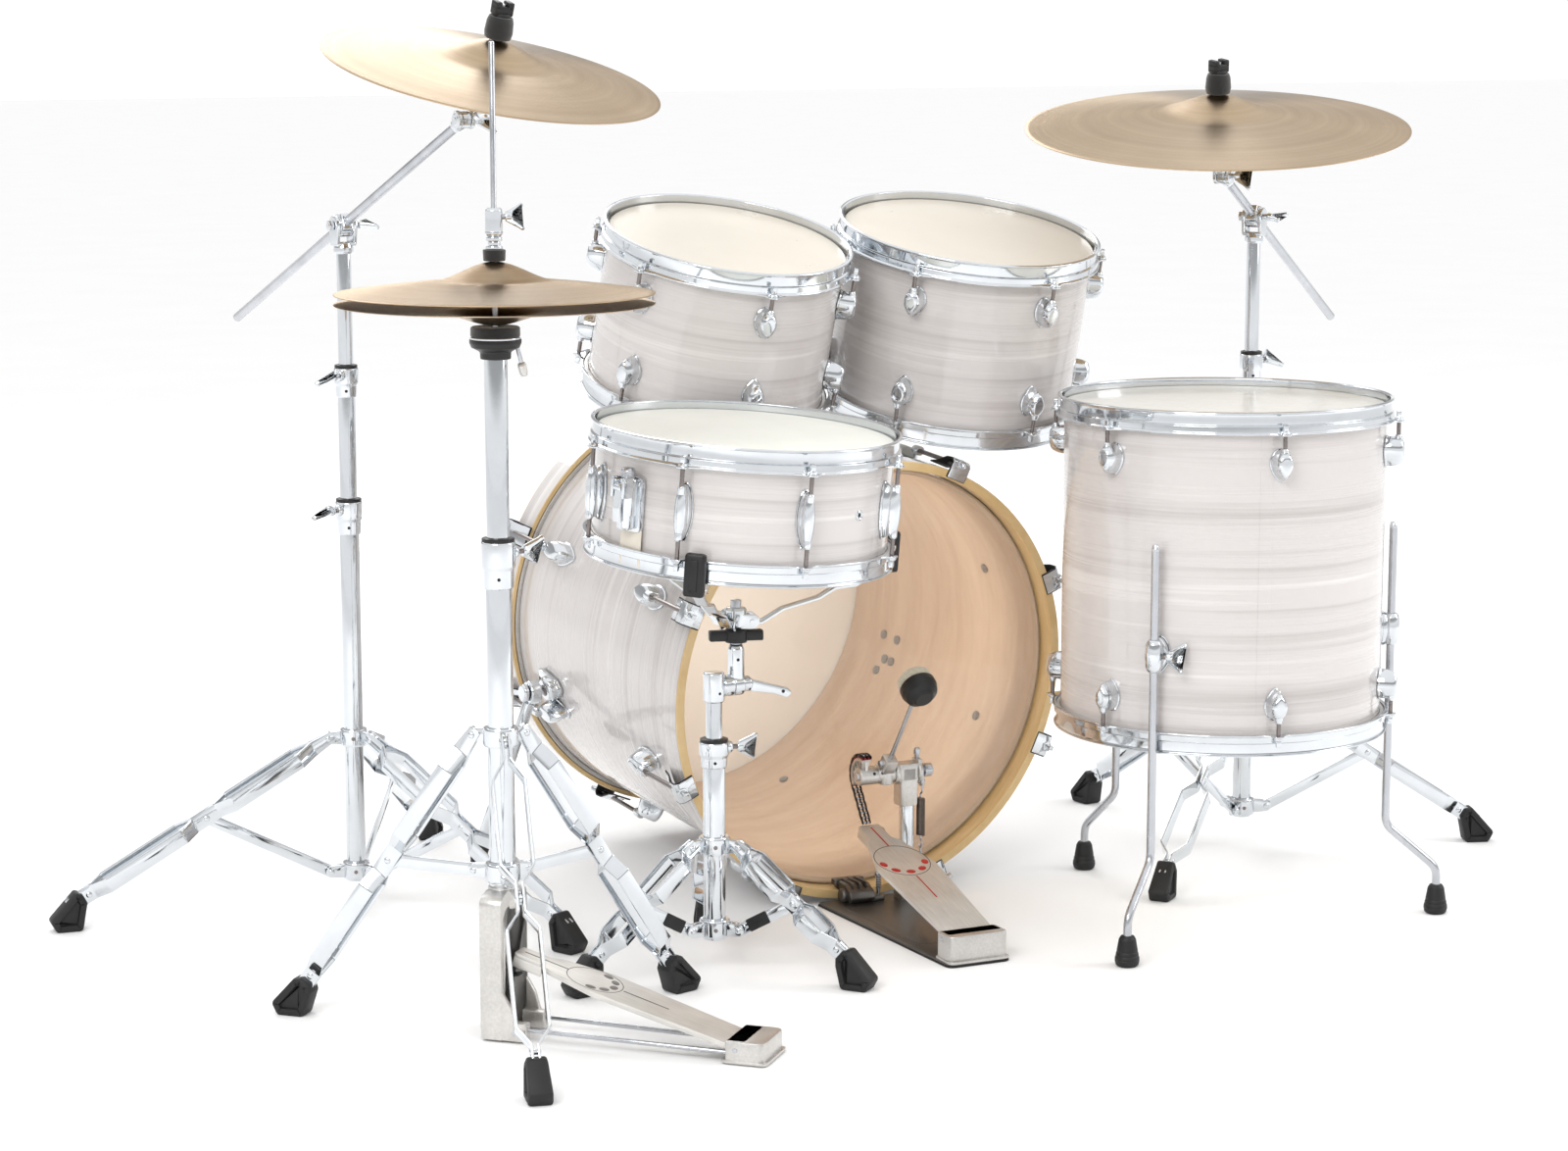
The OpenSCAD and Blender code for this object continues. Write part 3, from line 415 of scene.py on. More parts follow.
def bronze_material(name):
    """Lathed cymbal bronze: fine grooves round the centre that drag the highlights into rays."""
    p = Paint(name, Metallic=1.0, Roughness=0.3, Anisotropic=0.85)
    r = p.radius()
    rings = p.node("ShaderNodeCombineXYZ", {0: r}).outputs[0]
    groove = p.noise(p.node("ShaderNodeMapping", {"Vector": rings, "Scale": (900, 1, 1)}).outputs[0], 1.0,
                     3.0, 0.7)
    band = p.noise(p.node("ShaderNodeMapping", {"Vector": rings, "Scale": (60, 1, 1)}).outputs[0], 1.0, 4.0,
                   0.6)
    cloud = p.noise(p.place(), 9.0, 3.0, 0.5)
    tone = p.math("ADD", p.math("MULTIPLY", band, 0.65), p.math("MULTIPLY", cloud, 0.35))
    p.feed("Base Color", p.ramp(tone, [(0.3, srgb(0.66, 0.57, 0.46)), (0.52, srgb(0.715, 0.63, 0.52)),
                                       (0.72, srgb(0.76, 0.68, 0.57))]))
    p.feed("Roughness", p.ramp(groove, [(0.3, 0.24), (0.7, 0.38)]))
    tangent = p.node("ShaderNodeTangent", direction_type="RADIAL", axis="Z")
    p.feed("Tangent", tangent.outputs[0])
    p.bump(groove, 0.22, 0.0004)
    return p.material


def wood_material(name, light, dark, grain=(3, 3, 3), gloss=0.35):
    """Lacquered maple with long grain and fine pores."""
    p = Paint(name, Roughness=gloss, Coat_Weight=0.35, Coat_Roughness=0.12)
    long = p.noise(p.place(grain), 1.0, 5.0, 0.6)
    pore = p.noise(p.place([g * 6 for g in grain]), 1.0, 3.0, 0.6)
    mixed = p.math("ADD", p.math("MULTIPLY", long, 0.7), p.math("MULTIPLY", pore, 0.3))
    p.feed("Base Color", p.ramp(mixed, [(0.32, srgb(*dark)), (0.66, srgb(*light))]))
    p.bump(pore, 0.08, 0.0003)
    return p.material


def rubber_material(name, tone=0.09, rough=0.55):
    """Moulded black rubber or plastic with a fine skin."""
    p = Paint(name, Roughness=rough, Specular_IOR_Level=0.45)
    skin = p.noise(p.place(), 420.0, 3.0, 0.6)
    cloud = p.noise(p.place(), 25.0, 3.0, 0.5)
    p.feed("Base Color", p.ramp(cloud, [(0.3, srgb(tone * 0.75, tone * 0.75, tone * 0.78)),
                                        (0.7, srgb(tone * 1.25, tone * 1.25, tone * 1.27))]))
    p.feed("Roughness", p.ramp(cloud, [(0.3, rough - 0.07), (0.7, rough + 0.1)]))
    p.bump(skin, 0.18, 0.0003)
    return p.material


def felt_material(name, colour):
    """Pressed wool felt."""
    p = Paint(name, Roughness=0.95, Sheen_Weight=0.5, Sheen_Roughness=0.5)
    fibre = p.noise(p.place(), 600.0, 5.0, 0.75)
    p.feed("Base Color", p.ramp(fibre, [(0.3, srgb(*[c * 0.75 for c in colour])), (0.7, srgb(*colour))]))
    p.bump(fibre, 0.7, 0.0008)
    return p.material


def film_material(name, colour, alpha=1.0, rough=0.35, cloudy=0.02, ior=1.5):
    """Polyester drum head: faint mottle in the film and a soft gloss."""
    p = Paint(name, Roughness=rough, IOR=ior, Alpha=alpha)
    cloud = p.noise(p.place(), 16.0, 4.0, 0.6)
    p.feed("Base Color", p.ramp(cloud, [(0.3, srgb(*[c - cloudy for c in colour])), (0.7, srgb(*colour))]))
    p.feed("Roughness", p.ramp(cloud, [(0.3, rough - 0.03), (0.7, rough + 0.05)]))
    return p.material


def enamel_material(name, colour, rough=0.35):
    """Paint or dyed leather with a slight unevenness."""
    p = Paint(name, Roughness=rough)
    cloud = p.noise(p.place(), 120.0, 3.0, 0.6)
    p.feed("Base Color", p.ramp(cloud, [(0.3, srgb(*[c * 0.85 for c in colour])), (0.7, srgb(*colour))]))
    p.bump(cloud, 0.1, 0.0002)
    return p.material


CHROME = chrome_material()
STEEL = satin_material("satin_steel", (0.80, 0.81, 0.83), 0.24, streak=(60, 60, 25))
ROD_STEEL = satin_material("rod_steel", (0.56, 0.53, 0.52), 0.28, streak=(60, 60, 900), strength=0.5)
ALLOY = satin_material("cast_alloy", (0.88, 0.87, 0.855), 0.38, streak=(300, 300, 300))
BOARD = satin_material("satin_footboard", (0.93, 0.92, 0.90), 0.5, streak=(25, 400, 400), strength=0.06)
PLATE = satin_material("base_plate", (0.47, 0.46, 0.45), 0.36, streak=(200, 200, 200))
SPRING = satin_material("spring_steel", (0.50, 0.46, 0.43), 0.4, streak=(300, 300, 2500), strength=0.4)
CHAIN = satin_material("chain_steel", (0.24, 0.235, 0.24), 0.34, streak=(300, 300, 300))
BRONZE = bronze_material("lathed_bronze")
MAPLE = wood_material("maple_hoop", (0.885, 0.775, 0.58), (0.80, 0.665, 0.44), (7, 7, 60), 0.3)
INNER = wood_material("shell_ply", (0.80, 0.69, 0.575), (0.72, 0.59, 0.465), (5, 5, 35), 0.42)
WRAP = wrap_material("pearl_wrap", 1.0, 0.7)
RUBBER = rubber_material("rubber")
PLASTIC = rubber_material("black_plastic", 0.075, 0.38)
FELT = felt_material("white_felt", (0.90, 0.87, 0.78))
BLACK_FELT = felt_material("black_felt", (0.13, 0.13, 0.13))
COATED = film_material("coated_head", (0.925, 0.925, 0.895), rough=0.5)
CREAM = film_material("cream_head", (0.865, 0.835, 0.78), rough=0.3)
PALE = film_material("pale_head", (0.90, 0.885, 0.845), rough=0.16)
FROSTED = film_material("front_head", (0.90, 0.875, 0.83), rough=0.35)
CLEAR = film_material("clear_head", (0.95, 0.93, 0.88), alpha=0.13, rough=0.03, ior=1.7)
RED = enamel_material("red_enamel", (0.72, 0.10, 0.10))
GREY_INK = enamel_material("grey_inlay", (0.42, 0.40, 0.39))
BLACK_INK = enamel_material("dark_line", (0.16, 0.15, 0.15))

# ---------------------------------------------------------------- pieces


def piece(name, body, shape, materials, matrix=None, replaces=(), sharp=38):
    """One visible object: its mesh in the frame given by matrix, riding on a body if one is named."""
    mesh = bpy.data.meshes.new(name)
    mesh.from_pydata((shape.points * MM).tolist(), [], shape.faces)
    materials = materials if isinstance(materials, (list, tuple)) else [materials]
    for m in materials:
        mesh.materials.append(m)
    mesh.polygons.foreach_set("material_index", shape.paints)
    mesh.polygons.foreach_set("use_smooth", [True] * len(mesh.polygons))
    mesh.validate()
    mesh.set_sharp_from_angle(angle=radians(sharp))
    made = bpy.data.objects.new(name, mesh)
    bpy.context.scene.collection.objects.link(made)
    if matrix is not None:
        placed = matrix.copy()
        placed.translation = placed.translation * MM
        made.matrix_world = placed
    if body:
        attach(made, body)
    if replaces:
        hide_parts(*replaces)
    return made


# ---------------------------------------------------------------- layout, as the CAD has it

KIT = at(16.9, -49.0, 0.0)


def tilted(position, tilt, heading):
    """A drum's or cymbal's frame: its axis leans from upright towards a heading."""
    return KIT @ at(*position) @ turn("Z", heading) @ turn("Y", tilt) @ turn("Z", -heading)


BASS = KIT @ at(0, 0, 294) @ turn("X", -85)
INCH = 25.4
TOM_LEFT = dict(name="tom_left", frame=tilted((-164, 124, 768), 15.8, -85), r=6 * INCH, half=4 * INCH,
                first=21.7, count=6)
TOM_RIGHT = dict(name="tom_right", frame=tilted((192, 101, 752), 13.7, -90), r=6.5 * INCH, half=4.5 * INCH,
                 first=35.7, count=6)
FLOOR_TOM = dict(name="floor_tom", frame=KIT @ at(350, -276, 464), r=8 * INCH, half=8 * INCH - 1.5,
                 first=11.5, count=6)
SNARE = dict(name="snare", frame=tilted((-308, -192, 589), 4.5, -58), r=7 * INCH, half=2.75 * INCH,
             first=38.2, count=8)

# ---------------------------------------------------------------- drums

RIM_UP = 11
RIM_DOWN = 17
ROD_OUT = 16
ROUND = 128                        # facets round a drum


def hoop(r, first, count):
    """A triple-flanged steel hoop over a bearing edge at z = 0, with its ears."""
    sheet = fillet([(r + 2.8, RIM_UP - 1.2), (r + 5.2, RIM_UP), (r + 8.2, RIM_UP - 0.8),
                    (r + 8.6, RIM_UP - 2.4),
                    (r + 5.6, RIM_UP - 3.0), (r + 5.1, RIM_UP - 5), (r + 5.1, -5.3), (r + 8.0, -6.6),
                    (r + 8.4, -13.6), (r + 10.6, -15.2), (r + 10.6, -RIM_DOWN + 0.2), (r + 6.2, -RIM_DOWN),
                    (r + 6.2, -8), (r + 2.8, -7.2)], 0.9, 3)
    ring = lathe(sheet, ROUND)
    outline = fillet([(r + 5.5, -30), (r + 10.2, -17), (r + ROD_OUT - 1, -7.4), (r + ROD_OUT + 6.6, -6.4),
                      (r + ROD_OUT + 6.6, 6.4), (r + ROD_OUT - 1, 7.4), (r + 10.2, 17), (r + 5.5, 30)],
                     [0, 30, 8, 6.2, 6.2, 8, 30, 0], 5)
    ear = slab(outline, -RIM_DOWN, -RIM_DOWN + 2.3, 0.7)
    seam = block((r + 4.9, -0.5, -5.5), (r + 5.35, 0.5, RIM_UP - 3.4), 0.15, 0.15)
    return join(ring, around(ear, spread(first, count)), seam.moved(turn("Z", first + 11)))


def tension_rod(lug_top, ear_top):
    """Rod, washers and square head, from the lug's mouth up through the hoop's ear (rod on z)."""
    dark = rod(2.6, lug_top - 12, ear_top + 2, 0.3, 16, paint=1)
    mouth = turned([(0, lug_top - 6), (4.6, lug_top - 6), (4.6, lug_top + 2.4), (3.4, lug_top + 4.4),
                    (0, lug_top + 4.4)], 0.6, 20)
    washer = turned([(0, ear_top), (5.8, ear_top), (5.8, ear_top + 1.5), (4.6, ear_top + 3.4),
                     (0, ear_top + 3.4)],
                    0.5, 24)
    head = slab(rectangle(-2.9, -2.9, 2.9, 2.9, 0.8), ear_top + 3.2, ear_top + 12, 0.8)
    return join(dark, mouth, washer, head)


def almond(half_width, top, bottom, n=32):
    """Outline in y and z: blunt above, drawn to a point below."""
    out = []
    for i in range(n):
        a = 2 * pi * i / n
        y = half_width * sin(a)
        z = cos(a)
        if z < 0:
            y *= 1 - 0.45 * z * z
        out.append((y, top * z if z > 0 else bottom * -z * -1))
    return out


def boss(half_width, top, bottom, depth, keep=0.42, steps=7, paint=0):
    """A cast boss on a wall at x = 0: the almond shrinks to a front facet as it rises."""
    outline = almond(half_width, top, bottom)
    rings = []
    for k in range(steps + 1):
        a = k / steps * pi / 2
        s = keep + (1 - keep) * cos(a) ** 0.8
        rings.append([(depth * (0.12 + 0.88 * sin(a)), y * s, z * s) for y, z in outline])
    foot = [[(0.4, y * 1.1, z * 1.07) for y, z in outline], [(2.0, y * 1.1, z * 1.07) for y, z in outline],
            [(2.9, y * 1.03, z * 1.02) for y, z in outline]]
    return loft(foot + rings, paint)


def lug(half, inset_z=52):
    """One tom lug with its rod: the shell's face at x = 0, the bearing edge at z = half."""
    centre = half - inset_z
    body = boss(12.5, 17, 21, 23.5).moved(at(0, 0, centre))
    top = centre + 15
    mouth = rod(5.6, top - 12, top + 0.5, 1.0, 24).moved(at(ROD_OUT, 0, 0))
    return join(body, mouth, tension_rod(top, half - RIM_DOWN + 2.3).moved(at(ROD_OUT, 0, 0)))


def lug_ring(drum):
    one = lug(drum["half"]).moved(at(drum["r"], 0, 0))
    pair = join(one, one.moved(mirror("z")))
    return around(pair, spread(drum["first"], drum["count"]))


def shell(r, z0, z1, thick=7.5):
    """Wrapped outside (paint 0), bare ply inside and at the edges (paint 1)."""
    outside = lathe([(r, z0 + 2), (r, z1 - 2)], ROUND, closed=False)
    inside = lathe([(r - 0.02, z1 - 2), (r - 3, z1 - 0.2), (r - thick, z1 - 4), (r - thick, z0 + 4),
                    (r - 3, z0 + 0.2), (r - 0.02, z0 + 2)], ROUND, closed=False, paint=1)
    return join(outside, inside)


def lap(r, z0, z1, width=16):
    """The wrap's overlapped end: a thin curved strip on the shell."""
    half_angle = width / r / 2
    section = []
    steps = 6
    for k in range(steps + 1):
        a = -half_angle + 2 * half_angle * k / steps
        lift = 0.42 if k < steps else 0.05
        section.append(((r + lift) * cos(a), (r + lift) * sin(a)))
    back = [((r - 0.3) * cos(a), (r - 0.3) * sin(a)) for a in (half_angle, 0, -half_angle)]
    return slab(section + back, z0, z1, 0)


def grommet(r):
    """Vent hole: a chrome eyelet with a dark plastic disc painted as the shade in its hole, on a wall at x =
    r.
    """
    ring = lathe(fillet([(2.6, -0.6), (6.2, -0.6), (6.2, 0.7), (4.6, 1.5), (2.6, 0.6)], 0.4, 2), 28)
    # dark plastic disc inside the eyelet: painted shade standing in for the hole, as the shell is not cut
    painted_throat_shade = rod(3.0, -0.6, 0.25, 0.1, 20, paint=1)
    return join(ring, painted_throat_shade).moved(at(r, 0, 0) @ turn("Y", 90))


def head(r, film_paint=0, drop=8.3, collar=5.7):
    """Film with its crown at the bearing edge, its collar and the aluminium flesh hoop."""
    film = lathe([(0, 0.5), (r * 0.5, 0.5), (r - 9, 0.45), (r - 4.5, 0.3), (r - 2.2, 0.5), (r - 0.6, 0.3),
                  (r + 0.4, -0.8), (r + 0.7, -drop + 1)], ROUND, closed=False, paint=film_paint)
    under = lathe([(0, 0.1), (r - 4, 0.05), (r - 0.4, 0.0)], ROUND, closed=False, paint=film_paint)
    flesh = lathe(fillet([(r + 0.5, -drop - 6.6), (r + collar - 0.3, -drop - 6.6),
                          (r + collar - 0.3, -drop - 0.2),
                          (r + 0.5, -drop - 0.2)], 0.6, 2), ROUND, paint=1)
    return join(film, under, flesh)


def flipped(shape, z=0.0):
    return shape.moved(at(0, 0, z) @ mirror("z"))


def drum(d, body, batter, bottom, seam, vent):
    """Shell, heads, hoops and lugs of one drum, in its own frame."""
    r = d["r"]
    half = d["half"]
    name = d["name"]
    f = d["frame"]
    walls = join(shell(r, -half + 0.3, half - 0.3), lap(r, -half + 2.5, half - 2.5).moved(turn("Z", seam)))
    piece(name + "_wrapped_shell", body, walls, [WRAP, INNER], f, [name + "_shell"])
    piece(name + "_vent", body, grommet(r).moved(turn("Z", vent)), [CHROME, PLASTIC], f)
    top = head(r).moved(at(0, 0, half))
    low = flipped(head(r), -half)
    piece(name + "_batter_head", body, top, [batter, ALLOY], f, [name + "_heads"], sharp=60)
    piece(name + "_bottom_head", body, low, [bottom, ALLOY], f, sharp=60)
    rims = join(hoop(r, d["first"], d["count"]).moved(at(0, 0, half)),
                flipped(hoop(r, d["first"], d["count"]), -half))
    piece(name + "_flanged_hoops", body, rims, CHROME, f, [name + "_hoops"])
    if name != "snare":
        piece(name + "_cast_lugs", body, lug_ring(d), [CHROME, ROD_STEEL], f, [name + "_lugs"])


drum(TOM_LEFT, "tom_left", CREAM, PALE, 187, 164)
drum(TOM_RIGHT, "tom_right", CREAM, PALE, 62, 80)
drum(FLOOR_TOM, "root", PALE, PALE, -113, 60)
drum(SNARE, "snare_basket", COATED, PALE, 100, -70)


def snare_lug(half):
    """A double-ended lug: petal base, waisted barrel, both mouths and rods (shell's face at x = 0)."""
    base = boss(9.5, 33, 33, 11, keep=0.75)
    petal = []
    for k in range(15):
        z = -29 + 58 * k / 14
        w = 3.6 + 4.4 * cos(z / 29 * pi / 2) ** 0.7
        petal.append([(ROD_OUT - 3.4 + (w + 2.2) * cos(a), w * sin(a), z) for a in np.linspace(0, 2 * pi,
                                                                                               24, False)])
    barrel = loft(petal)
    belt = pipe(7.6, 5, -1.2, 1.2, 0.5, 24).moved(at(ROD_OUT - 1.6, 0, 0))
    ends = join([tension_rod(28, half - RIM_DOWN + 2.3).moved(at(ROD_OUT, 0, 0) @ m) for m in (at(),
                                                                                               mirror("z"))])
    return join(base, barrel, belt, ends)


piece("snare_double_lugs", "snare_basket",
      around(snare_lug(SNARE["half"]), spread(SNARE["first"], 8), at(SNARE["r"], 0, 0)),
      [CHROME, ROD_STEEL], SNARE["frame"], ["snare_lugs"])

# ---------------------------------------------------------------- bass drum

BASS_R = 279.4
BASS_LEN = 507
BASS_EDGE = 25
BASS_ANGLES = spread(22.5, 8)


def wooden_hoop():
    """Maple hoop: wrapped outside face (paint 1), bare wood elsewhere (paint 0)."""
    wood = lathe(fillet([(281, 0), (292.6, 0), (292.6, 40), (286.6, 40), (286.6, 33), (281, 33)], 1.0, 3),
                 ROUND)
    wrapped = lathe(fillet([(292.5, 2.2), (293, 2.2), (293, 38.6), (292.5, 38.6)], 0.1, 1), ROUND, paint=1)
    return join(wood, wrapped)


def bass_film(paint):
    """Bass head in its hoop: flat film, rounded collar and flesh hoop, facing -z."""
    return head(BASS_R, paint, drop=8.9, collar=6.5).moved(at(0, 0, BASS_EDGE) @ mirror("z"))


def other_end(shape):
    return shape.moved(at(0, 0, BASS_LEN) @ mirror("z"))


def bass_knob():
    """Teardrop bass lug on the shell's face at x = 0, with its rod along z to the claw."""
    body = boss(15, 24, 30, 25, keep=0.5).moved(mirror("z"))
    mouth = rod(6.4, -30, -16, 1.2, 24).moved(at(24.1, 0, 0))
    return join(body, mouth)


def claw():
    """Pressed claw over the hoop at x from its inner lip to the rod, with a rubber edge (paint 2)."""
    line = [(283.5, -2.0), (295, -3.6), (306, -3.2), (310.4, 1.5), (309.6, 14), (301, 31), (297.6, 45)]
    curved = fillet(line, 4, 4, closed=False)
    outer = [(x, z) for x, z in curved]
    inner = [(x - 2.3 * 0.9, z + 2.3 if i < 8 else z + 0.4) for i, (x, z) in enumerate(curved)]
    inner[0] = (283.5, 0.0)
    outline = outer + inner[::-1]
    body = slab(outline, -14, 14, 1.2).moved(turn("X", 90))
    edge = slab([(x - 0.5, z + 0.9) for x, z in outline], -15.2, 15.2, 0.8, paint=2).moved(turn("X", 90))
    return join(body, edge)


def drum_key_rod(head_z, lug_z, key):
    """Claw rod on z with its washer and a square head, or a T handle where key is true."""
    shaft = rod(3.0, head_z - 2, lug_z, 0.4, 16, paint=1)
    cup = turned([(0, head_z - 1), (6.4, head_z - 1), (7.4, head_z + 3), (0, head_z + 3)], 0.8, 28)
    top = slab(rectangle(-3, -3, 3, 3, 0.8), head_z - 10, head_z, 0.8)
    parts = [shaft, cup, top]
    if key:
        handle = rod(4.2, -15, 15, 3.0, 20).moved(at(0, 0, head_z - 10) @ turn("X", 90))
        parts.append(handle)
    return join(parts)


bass_walls = join(shell(BASS_R, BASS_EDGE + 0.1, BASS_LEN - BASS_EDGE - 0.1),
                  lap(BASS_R, 44, BASS_LEN - 44).moved(turn("Z", 100)))
piece("bass_wrapped_shell", "root", bass_walls, [WRAP, INNER], BASS, ["bass_shell"])
piece("bass_maple_hoops", "root", join(wooden_hoop(), other_end(wooden_hoop())), [MAPLE, WRAP], BASS,
      ["bass_hoops"])
piece("bass_batter_head", "root", bass_film(0), [CLEAR, ALLOY], BASS, ["bass_heads"], sharp=60)
piece("bass_front_head", "root", other_end(bass_film(0)), [FROSTED, ALLOY], BASS,
      sharp=60)

bass_knobs = around(bass_knob(), BASS_ANGLES, at(BASS_R, 0, 125))
rods = [drum_key_rod(-4, 105, 45 < a < 135) for a in BASS_ANGLES]
bass_rods = join([r.moved(turn("Z", a) @ at(303.5, 0, 0)) for r, a in zip(rods, BASS_ANGLES)])
piece("bass_teardrop_lugs", "root", join(bass_knobs, bass_rods, other_end(join(bass_knobs, bass_rods))),
      [CHROME, ROD_STEEL], BASS, ["bass_lugs"])
inner_bolt = on_x(turned([(0, -3), (6.5, -3), (6.5, 0), (0, 0)], 0.8, 20))
bolts = around(inner_bolt, BASS_ANGLES, at(BASS_R - 7.4, 0, 125))
spur_bolts = [inner_bolt.moved(turn("Z", a + da) @ at(BASS_R - 7.4, 0, z)) for a in (15, 165)
              for da, z in ((-3.4, 355), (3.4, 355), (-3.4, 390), (3.4, 372))]
piece("bass_inner_bolts", "root", join(bolts, other_end(bolts), spur_bolts), ROD_STEEL, BASS)
claws = around(claw(), BASS_ANGLES)
piece("bass_pressed_claws", "root", join(claws, other_end(claws)), [CHROME, ROD_STEEL, RUBBER], BASS,
      ["bass_claws"])

# ---------------------------------------------------------------- stand parts

CAMERA_SIDE = -115
STRIP_W = 20
STRIP_T = 2.6
NEAR = 2.4
FAR = 17
HUB_ARM = 34
FOOT_ENTRY = 40
FOOT_BACK = 15
PIN_R = 3


def rivet(half, paint=0):
    """A pin along y with two domed heads."""
    dome = [(0, -half - 1.8), (2.2, -half - 1.5), (3.6, -half - 0.6), (4.0, -half), (PIN_R, -half)]
    profile = dome + [(r, -z) for r, z in dome[::-1]]
    return on_y(lathe(profile, 20, closed=False, paint=paint))


def wing(reach=19, rise=15, thick=5.6, paint=0):
    """A cast wing in the xz plane: two lobes that sweep up and out from the hub at the origin."""
    right = [(0, -5), (6.5, -4.5), (10, 1), (reach - 3, rise - 4), (reach + 1, rise + 1),
             (reach - 2, rise + 4.5),
             (reach - 7, rise + 1), (6, 5.5)]
    left = [(-x, z) for x, z in right[1:]][::-1]
    outline = fillet(right + [(0, 4.5)] + left, 2.6, 3)
    return slab(outline, -thick / 2, thick / 2, 1.3, paint).moved(turn("X", 90))


def wing_screw(shank=12, tilt=20, paint=0, size=1.0):
    """A wing screw pointing in at the origin along +x: shank, collar, hub and wings."""
    stem = on_x(rod(3.0, 0, shank, 0.5, 16, paint=1))
    hub = on_x(turned([(0, shank - 1), (5.6, shank - 1), (5.6, shank + 2), (4.6, shank + 6),
                       (0, shank + 8)], 1.2, 20,
                      paint))
    wings = wing(paint=paint).moved(at(shank + 4, 0, 0) @ turn("Y", 90) @ turn("Z", 90 + tilt)
                                    @ Matrix.Diagonal((size, size, size, 1)))
    return join(stem, hub, wings)


def leg_length(foot_r, hub_z):
    return hypot(foot_r - FOOT_BACK - HUB_ARM, hub_z - FOOT_ENTRY) + 20


def leg_slope(foot_r, hub_z):
    return degrees(atan2(hub_z - FOOT_ENTRY, foot_r - FOOT_BACK - HUB_ARM))


def leg_line(length):
    """One strip's inner face seen from above: pinched at its rivets, spread between them."""
    return [(-7, NEAR), (0.06 * length, NEAR), (0.12 * length, FAR), (0.38 * length, FAR),
            (0.43 * length, NEAR),
            (0.52 * length, NEAR), (0.57 * length, FAR), (length - 56, FAR), (length - 37, NEAR),
            (length, NEAR)]


def tripod_leg(foot_r, hub_z):
    """Two pressed strips and their rivets, running down from the hub's ear."""
    length = leg_length(foot_r, hub_z)
    inner = fillet(leg_line(length), [0] + [5] * 8 + [0], 3, closed=False)
    outer = [(x, y + STRIP_T) for x, y in inner]
    strip = slab(inner + outer[::-1], -STRIP_W / 2, STRIP_W / 2, 0.7)
    # the strip's upper end is rounded about its rivet
    strip.points[:, 2] *= np.where(strip.points[:, 0] < 0, 0.72, 1.0)
    pins = [rivet(NEAR + STRIP_T).moved(at(x, 0, 0)) for x in (0, 0.475 * length, length - 30)]
    return join(strip, strip.moved(mirror("y")),
                pins).moved(at(HUB_ARM, 0, hub_z) @ turn("Y", leg_slope(foot_r, hub_z)))


def brace(foot_r, hub_z, brace_z, pads=False):
    """The flat link from the lower hub to the leg's middle rivet."""
    length = leg_length(foot_r, hub_z)
    slope = radians(leg_slope(foot_r, hub_z))
    mid = Vector((HUB_ARM + cos(slope) * 0.475 * length, 0, hub_z - sin(slope) * 0.475 * length))
    low = Vector((HUB_ARM, 0, brace_z))
    v = mid - low
    half = 7.6
    ends = []
    for k in range(9):
        a = radians(90 + 180 * k / 8)
        ends.append((half * cos(a), half * sin(a)))
    for k in range(9):
        a = radians(-90 + 180 * k / 8)
        ends.append((v.length + half * cos(a), half * sin(a)))
    link = slab(ends, -1.6, 1.6, 0.6).moved(turn("X", 90))
    parts = [link]
    if pads:
        parts.append(block((14, -8, -3.2), (44, 8, 3.2), 2, 1.2, paint=2).moved(turn("X", 90)))
    return join(parts).moved(Matrix.Translation(low) @ turn("Y", -degrees(atan2(v.z, v.x))))


def hub(tube_r, z, angles, double):
    """Cast ring with an ear towards each leg, a single one for a leg or a pair for a brace."""
    ring = lathe(fillet([(tube_r - 0.4, z - 11), (tube_r + 4.4, z - 11), (tube_r + 5.2, z - 8.5),
                         (tube_r + 5.2, z + 8.5),
                         (tube_r + 4.4, z + 11), (tube_r - 0.4, z + 11)], 0.9, 2), 48)
    ear = [(tube_r - 1, -9.4)]
    for k in range(9):
        a = radians(-90 + 180 * k / 8)
        ear.append((HUB_ARM + 7.4 * cos(a), 7.6 * sin(a)))
    ear.append((tube_r - 1, 9.4))
    if double:
        plates = [slab(ear, 2.6, 5.4, 0.7).moved(turn("X", 90)),
                  slab(ear, -5.4, -2.6, 0.7).moved(turn("X", 90))]
        pin = rivet(5.4).moved(at(HUB_ARM, 0, 0))
    else:
        plates = [slab(ear, -2.0, 2.0, 0.7).moved(turn("X", 90))]
        pin = rivet(5.4).moved(at(HUB_ARM, 0, 0))
    set_screw = on_x(rod(2.6, tube_r + 2, tube_r + 5.5, 0.3, 16, paint=1)).moved(turn("Z", CAMERA_SIDE))
    ears = around(join(plates, pin), angles)
    return join(ring, join(ears, set_screw).moved(at(0, 0, z)))


def boot(foot_r, hub_z):
    """Wedge boot: the leg enters its top, a panel is sunk into each side."""
    slope = radians(leg_slope(foot_r, hub_z))
    e = Vector((foot_r - FOOT_BACK, FOOT_ENTRY))
    n = Vector((sin(slope), cos(slope))) * 13.5
    t = Vector((cos(slope), -sin(slope))) * 3
    outline = fillet([tuple(e + n + t), tuple(e + n * 0.5 - t), tuple(e - n * 0.5 - t), tuple(e - n + t),
                      (e.x + 1, 0),
                      (e.x + 34, 0), (e.x + 42, 14)], [4, 3, 3, 5, 6, 5, 6], 4)
    width = 14.4
    layers = []
    for sink, y in ((9.5, 10.6), (8.2, width), (3.4, width), (1.0, width - 1.2), (0.0, width - 3.6)):
        layers.append((sink, y))
    rings = []
    for sink, y in layers + [(s, -y) for s, y in layers[::-1]]:
        ring = []
        for x, z in inset(outline, sink):
            narrow = 1 - 0.22 * max(0.0, z) / (FOOT_ENTRY + 13.5)
            ring.append((x, y * narrow, z))
        rings.append(ring)
    return loft(rings)


def tube(r, z0, z1, wall=1.5, n=48):
    return pipe(r, r - wall, z0, z1, 0.5, n)


